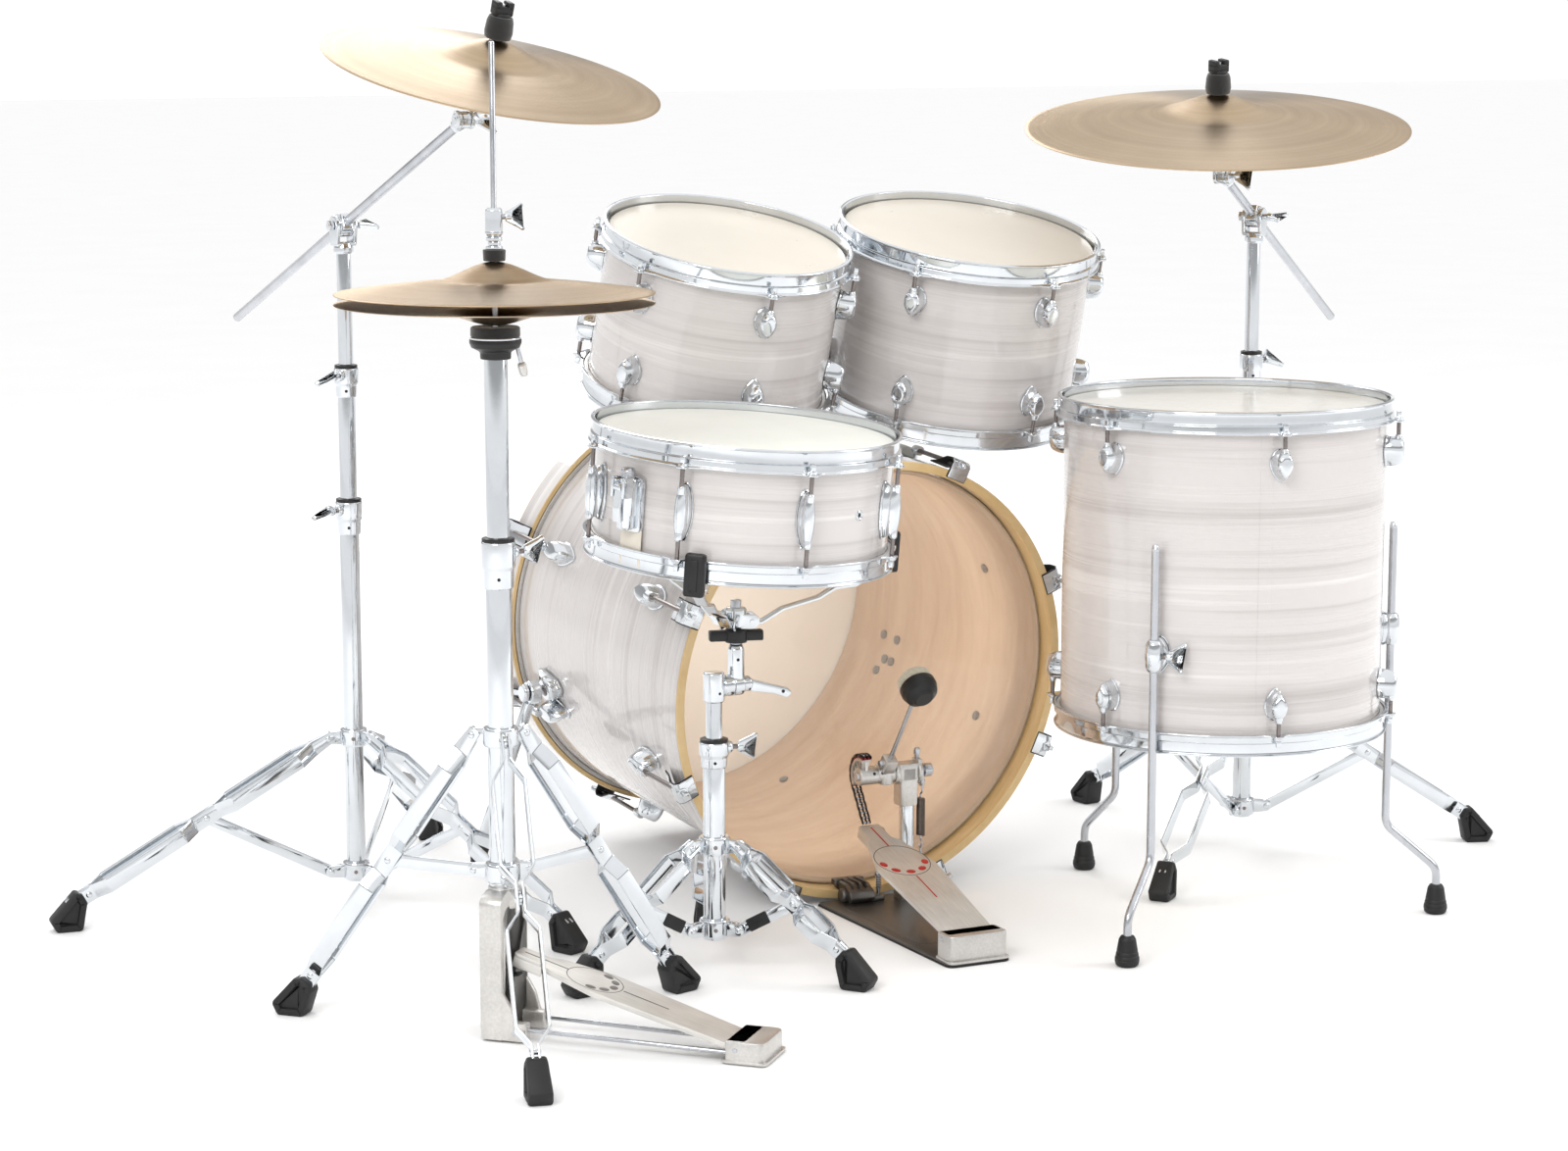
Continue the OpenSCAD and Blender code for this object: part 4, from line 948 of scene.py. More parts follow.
def collar(tube_r, inner_r, z0, z1, wing_at, wing_tilt=25, hole_at=CAMERA_SIDE):
    """Die-cast collar: wide clamp above, tapered skirt below, nylon ring on top, wing screw in a boss."""
    middle = z0 + 0.42 * (z1 - z0)
    body = lathe(fillet([(inner_r + 1, z0), (tube_r + 1.2, z0), (tube_r + 2.2, z0 + 1.5),
                         (tube_r + 2.6, middle - 3),
                         (tube_r + 4.4, middle + 1), (tube_r + 4.8, z1 - 6), (tube_r + 4.2, z1 - 4.6),
                         (inner_r + 1, z1 - 4.6)], 0.8, 2), 48)
    ring = lathe(fillet([(inner_r + 0.15, z1 - 4.8), (tube_r + 3.6, z1 - 4.8), (tube_r + 3.6, z1 - 0.6),
                         (inner_r + 1.2, z1 + 0.6), (inner_r + 0.15, z1 + 0.6)], 0.6, 2), 48, paint=2)
    z = (middle + z1) / 2 - 1
    lump = on_x(turned([(0, 0), (7.4, 0), (7.4, 5), (5.6, 8), (0, 8)], 1.2, 24)).moved(at(tube_r + 1, 0, z))
    screw = wing_screw(9, wing_tilt).moved(at(tube_r + 7, 0, z))
    # dark plastic plug on the skirt: painted shade standing in for a hole
    hole = on_x(rod(2.0, tube_r + 1.2, tube_r + 2.75, 0.2, 14, paint=2)).moved(at(0, 0, (z0 + middle) / 2))
    return join(body, ring, join(lump, screw).moved(turn("Z", wing_at)), hole.moved(turn("Z", hole_at)))


STANDS = dict(
    crash=dict(pos=(-584, 341, 0), feet=(-70, 50, 170), dims=(373, 224, 47), tube=12.7, top=537, collar=47),
    ride=dict(pos=(616, 10, 0), feet=(-25.7, 94.3, 214.3), dims=(333, 222, 57), tube=12.7, top=520,
              collar=47),
    snare=dict(pos=(-343, -183, 0), feet=(-176, -56, 64), dims=(187, 158, 55), tube=13.5, top=290,
               collar=36),
    hihat=dict(pos=(-681, -290, 0), feet=(11.5, 131.5, 251.5), dims=(262, 347, 190), tube=15, top=574,
               collar=58))
STAND_METAL = [CHROME, ROD_STEEL, PLASTIC]


def tripod(name, inner_r, tube_bottom, wing_at, wing_tilt):
    """A stand's fixed half: lower tube, its collar, both hubs, three legs and braces."""
    s = STANDS[name]
    foot_r, hub_z, brace_z = s["dims"]
    parts = [tube(s["tube"], tube_bottom, s["top"] - 8),
             collar(s["tube"], inner_r, s["top"] - s["collar"], s["top"], wing_at, wing_tilt),
             hub(s["tube"], hub_z, s["feet"], False), hub(s["tube"], brace_z, s["feet"], True),
             around(tripod_leg(foot_r, hub_z), s["feet"]),
             around(brace(foot_r, hub_z, brace_z, pads=name == "snare"), s["feet"])]
    piece(name + "_tripod_base", "root", join(parts), STAND_METAL, KIT @ at(*s["pos"]), [name + "_tripod"])


tripod("crash", 11, 33, 200, 30)
tripod("ride", 11, 43, 30, 30)
tripod("snare", 10, 41, -20, -60)
tripod("hihat", 13, 171, 0, -60)

boots = join([around(boot(s["dims"][0], s["dims"][1]),
                     s["feet"]).moved(at(*s["pos"])) for s in STANDS.values()])
piece("tripod_boots", "root", boots, RUBBER, KIT, ["rubber_feet"])


def stand_frame(name):
    return KIT @ at(*STANDS[name]["pos"])


for stand, low_top, mid_top, wing_at in (("crash", 537, 709, 215), ("ride", 520, 695, 10)):
    middle = join(tube(11, low_top - 330, mid_top - 8), collar(11, 9.4, mid_top - 42, mid_top, wing_at, 30))
    piece(stand + "_middle_tube", stand + "_mid", middle, STAND_METAL, stand_frame(stand),
          [stand + "_mid_tube"])

# ---------------------------------------------------------------- booms and cymbals

FORK_HALF = 9
BOOM_R = 6
POST_R = 4
CYMBALS = dict(
    crash=dict(clamp=(-584, 341, 886), top=(-568, 17, 1027), tail=323.7, mid_top=709,
               centre=(-542.5, -16, 1104),
               tilt=15.7, heading=-75.2, r=203.2, bell=55, bow=23, bell_h=17),
    ride=dict(clamp=(616, 10, 878), top=(514, -51, 938), tail=318, mid_top=695,
              centre=(496.2, -58.9, 1027.6),
              tilt=10.2, heading=-126, r=254, bell=62, bow=27, bell_h=18))


def gear_disc(r, thick, paint=0, teeth=36):
    """A toothed clamp disc along y, with a turned face and a screw in its middle."""
    rim = []
    for i in range(teeth * 2):
        k = r if i % 2 else r - 0.7
        rim.append((k * cos(pi * i / teeth), k * sin(pi * i / teeth)))
    disc = slab(rim, -thick / 2, thick / 2, 0.3, paint)
    face = lathe(fillet([(0, thick / 2), (3.2, thick / 2 + 1.6), (r * 0.55, thick / 2 + 1.6),
                         (r * 0.7, thick / 2 + 0.6),
                         (r * 0.86, thick / 2 + 0.6), (r * 0.9, thick / 2)], 0.4, 2, closed=False), 40,
                 closed=False,
                 paint=paint)
    return on_y(join(disc, face, flipped(face)))


def cymbal_profile(r, bell, bow, bell_h, hole):
    """Heights from the hole to the edge: a low bell that flows into the bow; the edge is bow below zero."""
    line = []
    for i in range(45):
        x = hole + (r - hole) * i / 44
        rise = (0.5 + 0.5 * cos(pi * min(1, x / (1.35 * bell)))) ** 0.9
        line.append((x, bell_h * rise - bow * (x / r) ** 1.35))
    return line


def cymbal_shape(r, bell, bow, bell_h, thick=1.5, hole=5):
    line = cymbal_profile(r, bell, bow, bell_h, hole)
    under = [(x, z - thick * (1 - 0.45 * x / r)) for x, z in line]
    edge = (line[-1][0] + 0.2, (line[-1][1] + under[-1][1]) / 2)
    return lathe(line + [edge] + under[::-1], 160)


def boom_arm(c):
    """Boom rod, toothed clamp drum with its wing, and the eye at the tilter's end; x runs to the cymbal."""
    clamp = Vector(c["clamp"])
    top = Vector(c["top"])
    reach = hypot(top.x - clamp.x, top.y - clamp.y)
    m = (top.z - clamp.z) / reach
    tail = c["tail"]
    shaft = bar((-tail, 0, -tail * m), (reach - 4, 0, (reach - 4) * m), BOOM_R, 1.6, 28, paint=1)
    a = degrees(atan2(m, 1))
    saddle = block((-15, -7.4, -11), (15, 7.4, 11), 3, 1.6).moved(turn("Y", -a))
    drum_ = gear_disc(14.4, 2 * FORK_HALF - 1.2)
    axle = on_y(rod(4, -FORK_HALF - 13, FORK_HALF + 12, 0.8, 20))
    nut = on_y(slab([(7 * cos(radians(60 * i)), 7 * sin(radians(60 * i))) for i in range(6)],
                    -FORK_HALF - 12,
                    -FORK_HALF - 6.4, 0.6))
    wings = wing_screw(4, 10).moved(at(0, FORK_HALF + 7, 0) @ turn("Z", 90))
    neck = between(turned([(0, -24), (6.8, -24), (8.4, -19), (8.4, -9), (0, -9)], 1.0, 28),
                   (reach, 0, reach * m),
                   (reach * 2, 0, reach * 2 * m))
    eye = gear_disc(10, 11).moved(at(reach, 0, reach * m))
    return join(shaft, saddle, drum_, axle, nut, wings, neck, eye)


def fork_tube(c):
    """Upper tube with the cast fork that holds the boom's clamp."""
    z = c["clamp"][2]
    heading = degrees(atan2(c["top"][1] - c["clamp"][1], c["top"][0] - c["clamp"][0]))
    cheek = []
    for k in range(13):
        a = radians(0 + 180 * k / 12)
        cheek.append((12.5 * cos(a), 12.5 * sin(a)))
    cheek = [(9.5, -24)] + cheek + [(-9.5, -24)]
    outline = fillet(cheek, 1.5, 2)
    side = slab(outline, FORK_HALF + 0.1, FORK_HALF + 5.4, 1.2).moved(turn("X", 90))
    base = turned([(0, -36), (11.2, -36), (12.6, -33), (12.6, -28), (11, -22), (0, -20.6)], 1.2, 32)
    bridge = block((-10, -FORK_HALF - 5.2, -26), (10, FORK_HALF + 5.2, -20.8), 3, 1.4)
    fork = join(side, side.moved(mirror("y")), bridge).moved(turn("Z", heading))
    return join(tube(9.4, c["mid_top"] - 230, z - 34, 1.5, 40), join(base, fork).moved(at(0, 0, z)))


def tilter_head(c):
    """Toothed tilter cheeks at the boom's end, the cymbal rod, cup washer and felt (in kit millimetres)."""
    clamp = Vector(c["clamp"])
    top = Vector(c["top"])
    centre = Vector(c["centre"])
    heading = degrees(atan2(top.y - clamp.y, top.x - clamp.x))
    cheek = gear_disc(11, 3.6).moved(at(0, 9, 0))
    screw = wing_screw(6, 70).moved(at(0, 12, 0) @ turn("Z", 90))
    joint = join(cheek, cheek.moved(mirror("y")), on_y(rod(3, -13, 14, 0.6, 16)), screw)
    joint = joint.moved(Matrix.Translation(top) @ turn("Z", heading))
    lean = Matrix.Translation(centre) @ turn("Z", c["heading"]) @ turn("Y", c["tilt"]) @ turn("Z",
                                                                                              -c["heading"])
    drop = -(centre - top).length
    yoke = lathe(fillet([(0, drop + 10), (9, drop + 10), (12.5, drop + 14), (12.5, drop + 19),
                         (9, drop + 22),
                         (6, drop + 30), (0, drop + 31)], 1.2, 2, closed=False), 32, closed=False)
    foot_of_yoke = lean @ Vector((0, 0, drop + 15))
    side = (foot_of_yoke - top).dot(turn("Z", heading) @ Vector((0, 1, 0)))
    reach = (foot_of_yoke - top).dot(turn("Z", heading) @ Vector((1, 0, 0)))
    y = 9 if side >= 0 else -9
    arm = bar((0, y, 0), (reach, side * 0.8 + y * 0.2, foot_of_yoke.z - top.z), 6.5, 2.0, 24)
    arm = arm.moved(Matrix.Translation(top) @ turn("Z", heading))
    post = rod(POST_R, drop + 20, 61, 0.8, 20, paint=1)
    cup = lathe(fillet([(POST_R, -19.6), (15, -19.6), (17, -17.6), (17, -16), (POST_R, -16)], 0.7, 2), 40)
    felt = lathe(fillet([(POST_R, -16), (15.4, -16), (15.4, -6), (POST_R, -6)], 2, 3), 40, paint=2)
    sleeve = lathe(fillet([(POST_R, -8), (POST_R + 0.9, -8), (POST_R + 0.9, 20), (POST_R, 20)], 0.2, 1), 24,
                   paint=3)
    top_felt = lathe(fillet([(POST_R, 19.3), (15.6, 19.3), (17, 27), (16, 40), (14, 46.4), (POST_R, 46.4)],
                            2.4, 3), 40,
                     paint=2)
    nut_top = join(turned([(0, 46.2), (12, 46.2), (12, 49), (10, 51), (0, 51)], 0.8, 32, paint=3),
                   slab(rectangle(-11.6, -8.6, 11.6, 8.6, 2.6), 48, 59, 1.2, paint=3),
                   [block((x, -8.6, 55), (x + 7.6, 8.6, 64), 2.4, 1.6, paint=3) for x in (-11.6, 4.0)])
    upper = join(yoke, post, cup, felt, sleeve, top_felt, nut_top)
    return join(joint, arm, upper.moved(lean))


for stand, c in CYMBALS.items():
    piece(stand + "_fork_tube", stand + "_upper", fork_tube(c), STAND_METAL, stand_frame(stand),
          [stand + "_upper_tube"])
    heading = degrees(atan2(c["top"][1] - c["clamp"][1], c["top"][0] - c["clamp"][0]))
    piece(stand + "_boom_arm", stand + "_boom", boom_arm(c), [CHROME, STEEL],
          KIT @ at(*c["clamp"]) @ turn("Z", heading),
          [stand + "_boom"])
    piece(stand + "_tilter_head", stand + "_tilter", tilter_head(c), [CHROME, STEEL, BLACK_FELT, PLASTIC],
          KIT,
          [stand + "_tilter"])
    piece(stand + "_lathed_cymbal", stand + "_cymbal",
          cymbal_shape(c["r"], c["bell"], c["bow"], c["bell_h"]), BRONZE,
          tilted(c["centre"], c["tilt"], c["heading"]), [stand + "_cymbal"], sharp=60)

# ---------------------------------------------------------------- hi-hat

HAT_R = 177.8
HAT_EDGE = 847
HAT_GAP = 12
HAT_BOW = 13
HAT_BELL = 11
HAT_TOP_BOW = 18
HAT_TOP_BELL = 17
hat = stand_frame("hihat")
piece("hihat_lathed_top", "hihat_rod", cymbal_shape(HAT_R, 50, HAT_TOP_BOW, HAT_TOP_BELL, 1.4, 4.2), BRONZE,
      hat @ at(0, 0, HAT_EDGE + HAT_TOP_BOW), ["hihat_top_cymbal"], sharp=60)
piece("hihat_lathed_bottom", "hihat_upper", flipped(cymbal_shape(HAT_R, 46, HAT_BOW, HAT_BELL, 1.4, 4.2)),
      BRONZE,
      hat @ at(0, 0, HAT_EDGE - HAT_GAP - HAT_BOW), ["hihat_bottom_cymbal"], sharp=60)

SEAT_Z = 780
FELT_Z = 809


def hat_seat():
    """Moulded cup on the upper tube, its chrome ring, the felt and the tilt screw."""
    cup = lathe(fillet([(4.2, SEAT_Z - 6), (17, SEAT_Z - 6), (17.4, SEAT_Z + 1), (19, SEAT_Z + 3),
                        (27, SEAT_Z + 7),
                        (29, SEAT_Z + 12), (29, SEAT_Z + 16.4), (4.2, SEAT_Z + 16.4)], 1.2, 3), 56, paint=2)
    ring = pipe(28.4, 20, SEAT_Z + 16.2, SEAT_Z + 18.4, 0.6, 56)
    felt = lathe(fillet([(4.2, SEAT_Z + 18.4), (27.6, SEAT_Z + 18.4), (27.6, SEAT_Z + 29),
                         (25, FELT_Z + 1.5),
                         (4.2, FELT_Z + 1)], 2.2, 3), 56, paint=3)
    felt.points[:, 2] = np.minimum(felt.points[:, 2], FELT_Z + 1.2)
    screw = join(rod(2.4, -14, 6, 0.3, 16, paint=1),
                 turned([(0, -28), (3.4, -28), (4.6, -25), (4.9, -16), (4, -13), (0, -13)], 0.8, 20,
                        paint=4))
    return join(cup, ring, felt, screw.moved(at(22, -13, SEAT_Z + 2) @ turn("Y", -14)))


def clutch():
    """Pull rod with the clutch: lower nut, felts, upper nut, body and wing screw."""
    z = HAT_EDGE
    shaft = rod(3.2, 128, 1122, 1.2, 20, paint=1)
    socket = turned([(0, 112), (5.5, 112), (5.5, 130), (4, 133), (0, 133)], 0.8, 20)
    lower = turned([(0, z + 18), (7.5, z + 18), (9, z + 20), (9, z + 29), (0, z + 29)], 0.8, 28)
    felt = lathe(fillet([(3.4, z + 35.4), (12.2, z + 35.4), (12.8, z + 48.2), (3.4, z + 48.2)], 1.6, 3), 36,
                 paint=2)
    nuts = [turned([(0, a), (r, a), (r, b), (0, b)], 0.9, 28) for a, b, r in
            ((z + 48.4, z + 52, 9.5), (z + 52.4, z + 57, 7), (z + 57.4, z + 62, 9))]
    body = turned([(0, z + 62), (7, z + 62), (9.6, z + 65), (9.6, z + 91), (7.4, z + 94), (0, z + 94)], 1.0,
                  32)
    groove = turned([(0, z + 66), (9.9, z + 66), (9.9, z + 68), (0, z + 68)], 0.5, 32, paint=1)
    screw = wing_screw(6, 60, size=0.85).moved(at(7.5, 0, z + 84))
    return join(shaft, socket, lower, felt, nuts, body, groove, screw.moved(turn("Z", -20)))


piece("hihat_upper_column", "hihat_upper", join(tube(13, 300, SEAT_Z - 4), hat_seat()),
      [CHROME, STEEL, PLASTIC, BLACK_FELT, ALLOY], hat, ["hihat_upper_tube"])
piece("hihat_clutch_and_rod", "hihat_rod", clutch(), [CHROME, STEEL, BLACK_FELT], hat, ["hihat_rod"])

# ---------------------------------------------------------------- floor tom legs

LEG_ANGLES = (-29.5, 90.5, 210.5)
LEG_RING = 218.5
LEG_FOOT = 287
LEG_BRACKET_Z = 375


def floor_leg():
    """Bent rod with a knurled tip and a ribbed rubber foot; heights from the floor, x outwards."""
    path = [(LEG_RING, 0, 505), (LEG_RING, 0, 118), (LEG_FOOT, 0, 60), (LEG_FOOT, 0, 20)]
    shaft = wire(path, 5.25, 26, 20)
    tip = turned([(0, 484), (5.2, 484), (5.2, 486), (4.9, 487), (5.2, 489), (5.2, 508), (3.6, 513),
                  (0, 513)], 0.5, 24,
                 paint=1).moved(at(LEG_RING, 0, 0))
    ribs = [(0, 0), (11.5, 0), (14.2, 2.5), (15.4, 8), (14.6, 9), (15.3, 10), (14.4, 13), (13.6, 14),
            (14.2, 15),
            (13.3, 18), (12.6, 19), (13.0, 20), (10.6, 34), (8.2, 38), (0, 38)]
    foot = turned(ribs, 0.7, 36, paint=2).moved(at(LEG_FOOT, 0, 0))
    return join(shaft, tip, foot)


for i, a in enumerate(LEG_ANGLES):
    piece("floor_leg_rod_%d" % (i + 1), "floor_leg_%d" % (i + 1), floor_leg(), [STEEL, CHROME, RUBBER],
          KIT @ at(350, -276, 0) @ turn("Z", a), ["floor_leg_%d" % (i + 1)])


def leg_bracket():
    """Oval cast bracket on the shell at x = 0, with the clamp barrel round the rod and its wing screw."""
    out = LEG_RING - FLOOR_TOM["r"]
    plate = boss(15, 23, 23, 9, keep=0.8)
    barrel = loft([[(out + (k * 11.5) * cos(a), (k * 11.5) * sin(a), z) for a in np.linspace(0, 2 * pi, 28,
                                                                                             False)]
                   for z,
                   k in ((-20, 0.62), (-18.4, 0.78), (-14, 0.93), (0, 1.04), (14, 0.93), (18.4, 0.78),
                         (20, 0.62))])
    screw = wing_screw(9, 65).moved(at(out, 9, 0) @ turn("Z", 90))
    return join(plate, barrel, screw)


def spur_bracket():
    """Fan-shaped casting on the bass shell at x = 0 with its round pivot knob; z runs along the drum."""
    fan = fillet([(-34, 0), (-30, -22), (14, -13), (24, 0), (14, 13), (-30, 22)], 7, 4)
    plate = slab(fan, 0.6, 9, 3.0).moved(turn("Y", 90) @ turn("Z", 0))
    knob = on_x(turned([(0, 4), (17, 4), (18, 8), (17.4, 15), (14, 18.8), (0, 18.8)], 2.0, 40))
    cap = on_x(turned([(0, 18), (8, 18), (8, 20), (0, 20)], 0.8, 28, paint=1))
    return join(plate, knob, cap)


SPUR_ANGLE = 15
SPUR_Z = 372
floor_brackets = around(leg_bracket(), LEG_ANGLES, at(FLOOR_TOM["r"], 0, LEG_BRACKET_Z))
floor_brackets = floor_brackets.moved(at(350, -276, 0))
in_bass = KIT.inverted() @ BASS
spur_plates = join([spur_bracket().moved(in_bass @ turn("Z", a) @ at(BASS_R, 0, SPUR_Z))
                    for a in (SPUR_ANGLE, 180 - SPUR_ANGLE)])


def spur_pivot(side):
    return Vector((side * 297.6, 377.4, 248.8))


def spur_pin(side):
    p = spur_pivot(side)
    x = Vector((side, 0, 0))
    pin = bar(p - x * 9, p + x * 18, 5, 0.8, 24)
    knob = between(turned([(0, 0), (10, 0), (12, 2), (12, 6), (10, 8), (0, 8)], 1.0, 32), p + x * 16.4,
                   p + x * 17.4)
    return join(pin, knob)


piece("drum_leg_castings", "root", join(floor_brackets, spur_plates, spur_pin(-1), spur_pin(1)),
      [CHROME, ROD_STEEL],
      KIT, ["drum_leg_brackets"])


def spur_leg(side):
    """Spur: pivot boss, tube, thicker end tube and a rubber foot."""
    p = spur_pivot(side) + Vector((side * 8, 0, 0))
    tip = Vector((side * 352, 452, 16))
    x = Vector((side, 0, 0))
    boss_ = between(lathe(fillet([(5.1, 0), (15, 0), (16, 2), (16, 13), (15, 15), (5.1, 15)], 1.0, 2), 40),
                    p - x * 7.5,
                    p + x * 7.5)
    start = p + (tip - p) * 0.06
    leg = bar(start, p + (tip - p) * 0.97, 8, 1.0, 32)
    sleeve_at = p + (tip - p) * 0.6
    sleeve = bar(sleeve_at, p + (tip - p) * 0.95, 9.6, 1.6, 32)
    foot = turned([(0, 0), (10, 0), (12.2, 3), (12.4, 12), (9.6, 30), (0, 31)], 1.4, 32, paint=1)
    foot = foot.moved(at(tip.x, tip.y, 0))
    shoe = between(turned([(0, 0), (11, 0), (11, 26), (0, 28)], 1.4, 32, paint=1), tip, p)
    return join(boss_, leg, sleeve, foot, shoe)


piece("spur_leg_left", "spur_left", spur_leg(-1), [CHROME, RUBBER], KIT, ["spur_left"])
piece("spur_leg_right", "spur_right", spur_leg(1), [CHROME, RUBBER], KIT, ["spur_right"])

# ---------------------------------------------------------------- tom mounts and holder

HOLDER_BASE = Vector((8, 262, 597))
HOLDER_BALLS = (Vector((-26, 276, 705)), Vector((44, 276, 700)))
BALL_R = 14
ARM_OUT = 27
ARM_LOW = -75


def strap_plate(width, height, thick, corner=8):
    """A cast base plate against a drum shell at x = 0."""
    plate = slab(rectangle(-width / 2, -height / 2, width / 2, height / 2, corner), 0, thick, 3.0)
    return plate.moved(turn("Z", 90) @ turn("X", 90))


def tom_mount(d, arm_at, ball_place):
    """Bracket on the shell, the arm through its barrel, and the bend down to the holder's ball."""
    ball_here = d["frame"].inverted() @ KIT @ ball_place
    spin = turn("Z", arm_at)
    x = d["r"] + ARM_OUT
    low = spin @ Vector((x, 0, ARM_LOW))
    barrel = lathe(fillet([(6.1, -24), (11.6, -24), (13, -22), (13, 22), (11.6, 24), (6.1, 24)], 1.0, 2),
                   36)
    plate = strap_plate(34, 50, 12).moved(at(d["r"] + 0.8, 0, 0))
    web = block((d["r"] + 9, -9, -21), (x - 6, 9, 21), 3, 1.5)
    screw = wing_screw(8, 60).moved(at(x, 12, 0) @ turn("Z", 90))
    lock = lathe(fillet([(6.1, 25), (10, 25), (10, 33), (6.1, 33)], 1.0, 2), 28)
    lock_screw = on_x(rod(2.4, 8, 14, 0.4, 12, paint=1)).moved(at(x, 0, 29))
    shaft = wire([tuple(spin @ Vector((x, 0, 39))), tuple(low), tuple(ball_here)], 6, 9, 20, paint=1)
    cast = join(plate, web, barrel.moved(at(x, 0, 0)), screw, lock.moved(at(x, 0, 0)),
                lock_screw).moved(spin)
    return join(cast, shaft, ball(BALL_R, 28, paint=1, rows=14).moved(Matrix.Translation(ball_here)))


for d, arm_at, place in ((TOM_LEFT, 51.7, HOLDER_BALLS[0]), (TOM_RIGHT, 125.7, HOLDER_BALLS[1])):
    piece(d["name"] + "_arm", d["name"], tom_mount(d, arm_at, place), [CHROME, STEEL], d["frame"],
          [d["name"] + "_mount"])


def holder():
    """Post clamp on the bass drum with a bridge that carries both ball cups."""
    foot = turned([(0, -2), (30, -2), (34, 1), (34, 6), (28, 11), (22, 15), (0, 16)], 2.0, 48)
    foot = foot.moved(in_bass @ at(HOLDER_BASE.x, -BASS_R - 0.8, HOLDER_BASE.y) @ turn("X", 90))
    column = turned([(0, 4), (19, 4), (21, 8), (21, 40), (18.5, 44), (18.5, 66), (21, 69), (0, 70)], 1.4,
                    40)
    screw = wing_screw(8, 20).moved(turn("Z", 200) @ at(19, 0, 26))
    parts = [foot, join(column, screw).moved(Matrix.Translation(HOLDER_BASE))]
    a, b = HOLDER_BALLS
    parts.append(slab(rectangle(a.x - 13, a.y - 13, b.x + 13, a.y + 12, 12), 656, 667, 2.4))
    for p in HOLDER_BALLS:
        parts.append(rod(8, 660, p.z - 24, 0.5, 28).moved(at(p.x, p.y, 0)))
        bowl = [(BALL_R + 0.3) * cos(radians(t)) for t in (-12, -30, -48, -62)]
        bowl_z = [(BALL_R + 0.3) * sin(radians(t)) for t in (-12, -30, -48, -62)]
        cup = [(0, -BALL_R - 0.6), (0, -30), (15.5, -30), (17, -28), (17, -4), (16, -3)]
        cup += list(zip(bowl, bowl_z)) + [(3, -BALL_R - 0.6)]
        parts.append(lathe(cup, 40).moved(Matrix.Translation(p)))
        parts.append(on_x(turned([(0, 14), (5, 14), (5, 22), (0, 23)], 0.8, 6, paint=1)).moved(
            Matrix.Translation(p + Vector((0, 0, -22))) @ turn("Z", -70)))
    return join(parts)


piece("tom_holder_casting", "root", holder(), [CHROME, STEEL], KIT, ["tom_holder"])

# ---------------------------------------------------------------- snare: strainer, wires, stand

STRAINER_AT = 195.7
LEVER_PIN = Vector((SNARE["r"] + 27, 0, 20))
WIRES = 20
s_r = SNARE["r"]


def strainer():
    """Throw-off body with its knurled knob, butt plate, straps and the wires under the lower head."""
    low = -SNARE["half"]
    plate = strap_plate(34, 66, 7).moved(at(s_r + 0.8, 0, -1))
    barrel = turned([(0, -30), (8.5, -30), (10, -27), (10, 27), (9, 30), (0, 30)], 1.2,
                    32).moved(at(s_r + 15, 0, 0))
    saddle = block((s_r + 6, -11, -14), (s_r + 20, 11, 27), 4, 2.0)
    cheeks = [block((s_r + 15, y, 8), (s_r + 32, y + 4, 32), 2, 0.8) for y in (-11, 7)]
    knob = lathe(fillet([(0, 30), (5, 30),
                         (8.5, 31)] + [(8.5 - 0.35 * (i % 2), 31.5 + i * 0.9) for i in range(10)] +
                        [(7, 42), (0, 42.6)], 0.2, 1, closed=False), 30, closed=False, paint=1)
    screws = [on_x(turned([(0, 6), (3.2, 6), (3.2, 9), (1.6, 10), (0, 10)], 0.5, 16, paint=1)).moved(
        at(s_r, y, z)) for y, z in ((0, -28), (12, 24))]
    strap = block((s_r - 12, -17, low - 4.4), (s_r + 4.4, 17, low - 3.6), 2, 0.2, paint=2)
    strap_up = block((s_r + 3.6, -17, low - 4.2), (s_r + 4.6, 17, -30), 0.4, 0.2, paint=2)
    body = join(plate, barrel, saddle, cheeks, knob.moved(at(s_r + 15, 0, 0)), screws, strap, strap_up)
    butt = join(strap_plate(32, 46, 7).moved(at(s_r + 0.8, 0, -7)),
                block((s_r + 7, -9, -26), (s_r + 16.5, 9, 3), 3, 1.6),
                on_x(rod(2.4, 9, 17.4, 0.4, 14, paint=1)).moved(at(s_r, 0, -10)), strap,
                strap_up).moved(turn("Z", 180))
    ends = [block((x - 8, -21, low - 2.7), (x + 8, 21, low - 1.2), 2, 0.3, paint=1) for x in (-142, 142)]
    coils = []
    for i in range(WIRES):
        y = -19 + 38 * i / (WIRES - 1)
        coils.append(bar((-140, y, low - 1.6), (140, y, low - 1.6), 0.7, 0.2, 6, paint=1))
    return join(body, butt, ends, coils).moved(turn("Z", STRAINER_AT))


def strainer_lever():
    """Curved throw-off arm on its cross pin, rising beside the barrel."""
    path = [LEVER_PIN + Vector(v) for v in ((0, 0, 4), (1.5, 0, -10), (3, 0, -24), (0.5, 0, -40))]
    section = rectangle(-6, -2.2, 6, 2.2, 1.6)
    arm = sweep(curve([tuple(p) for p in path], 12, 4), section, up=(0, 1, 0))
    hub_ = on_y(rod(5, -6, 6, 0.8, 24)).moved(Matrix.Translation(LEVER_PIN))
    pin = on_y(rod(2.5, -10.5, 10.5, 0.4, 16, paint=1)).moved(Matrix.Translation(LEVER_PIN))
    return join(arm, hub_, pin).moved(turn("Z", STRAINER_AT))


piece("snare_throw_off", "snare_basket", strainer(), [CHROME, STEEL, CREAM], SNARE["frame"],
      ["snare_strainer"])
piece("snare_throw_off_lever", "snare_lever", strainer_lever(), [CHROME, STEEL], SNARE["frame"],
      ["snare_lever"])

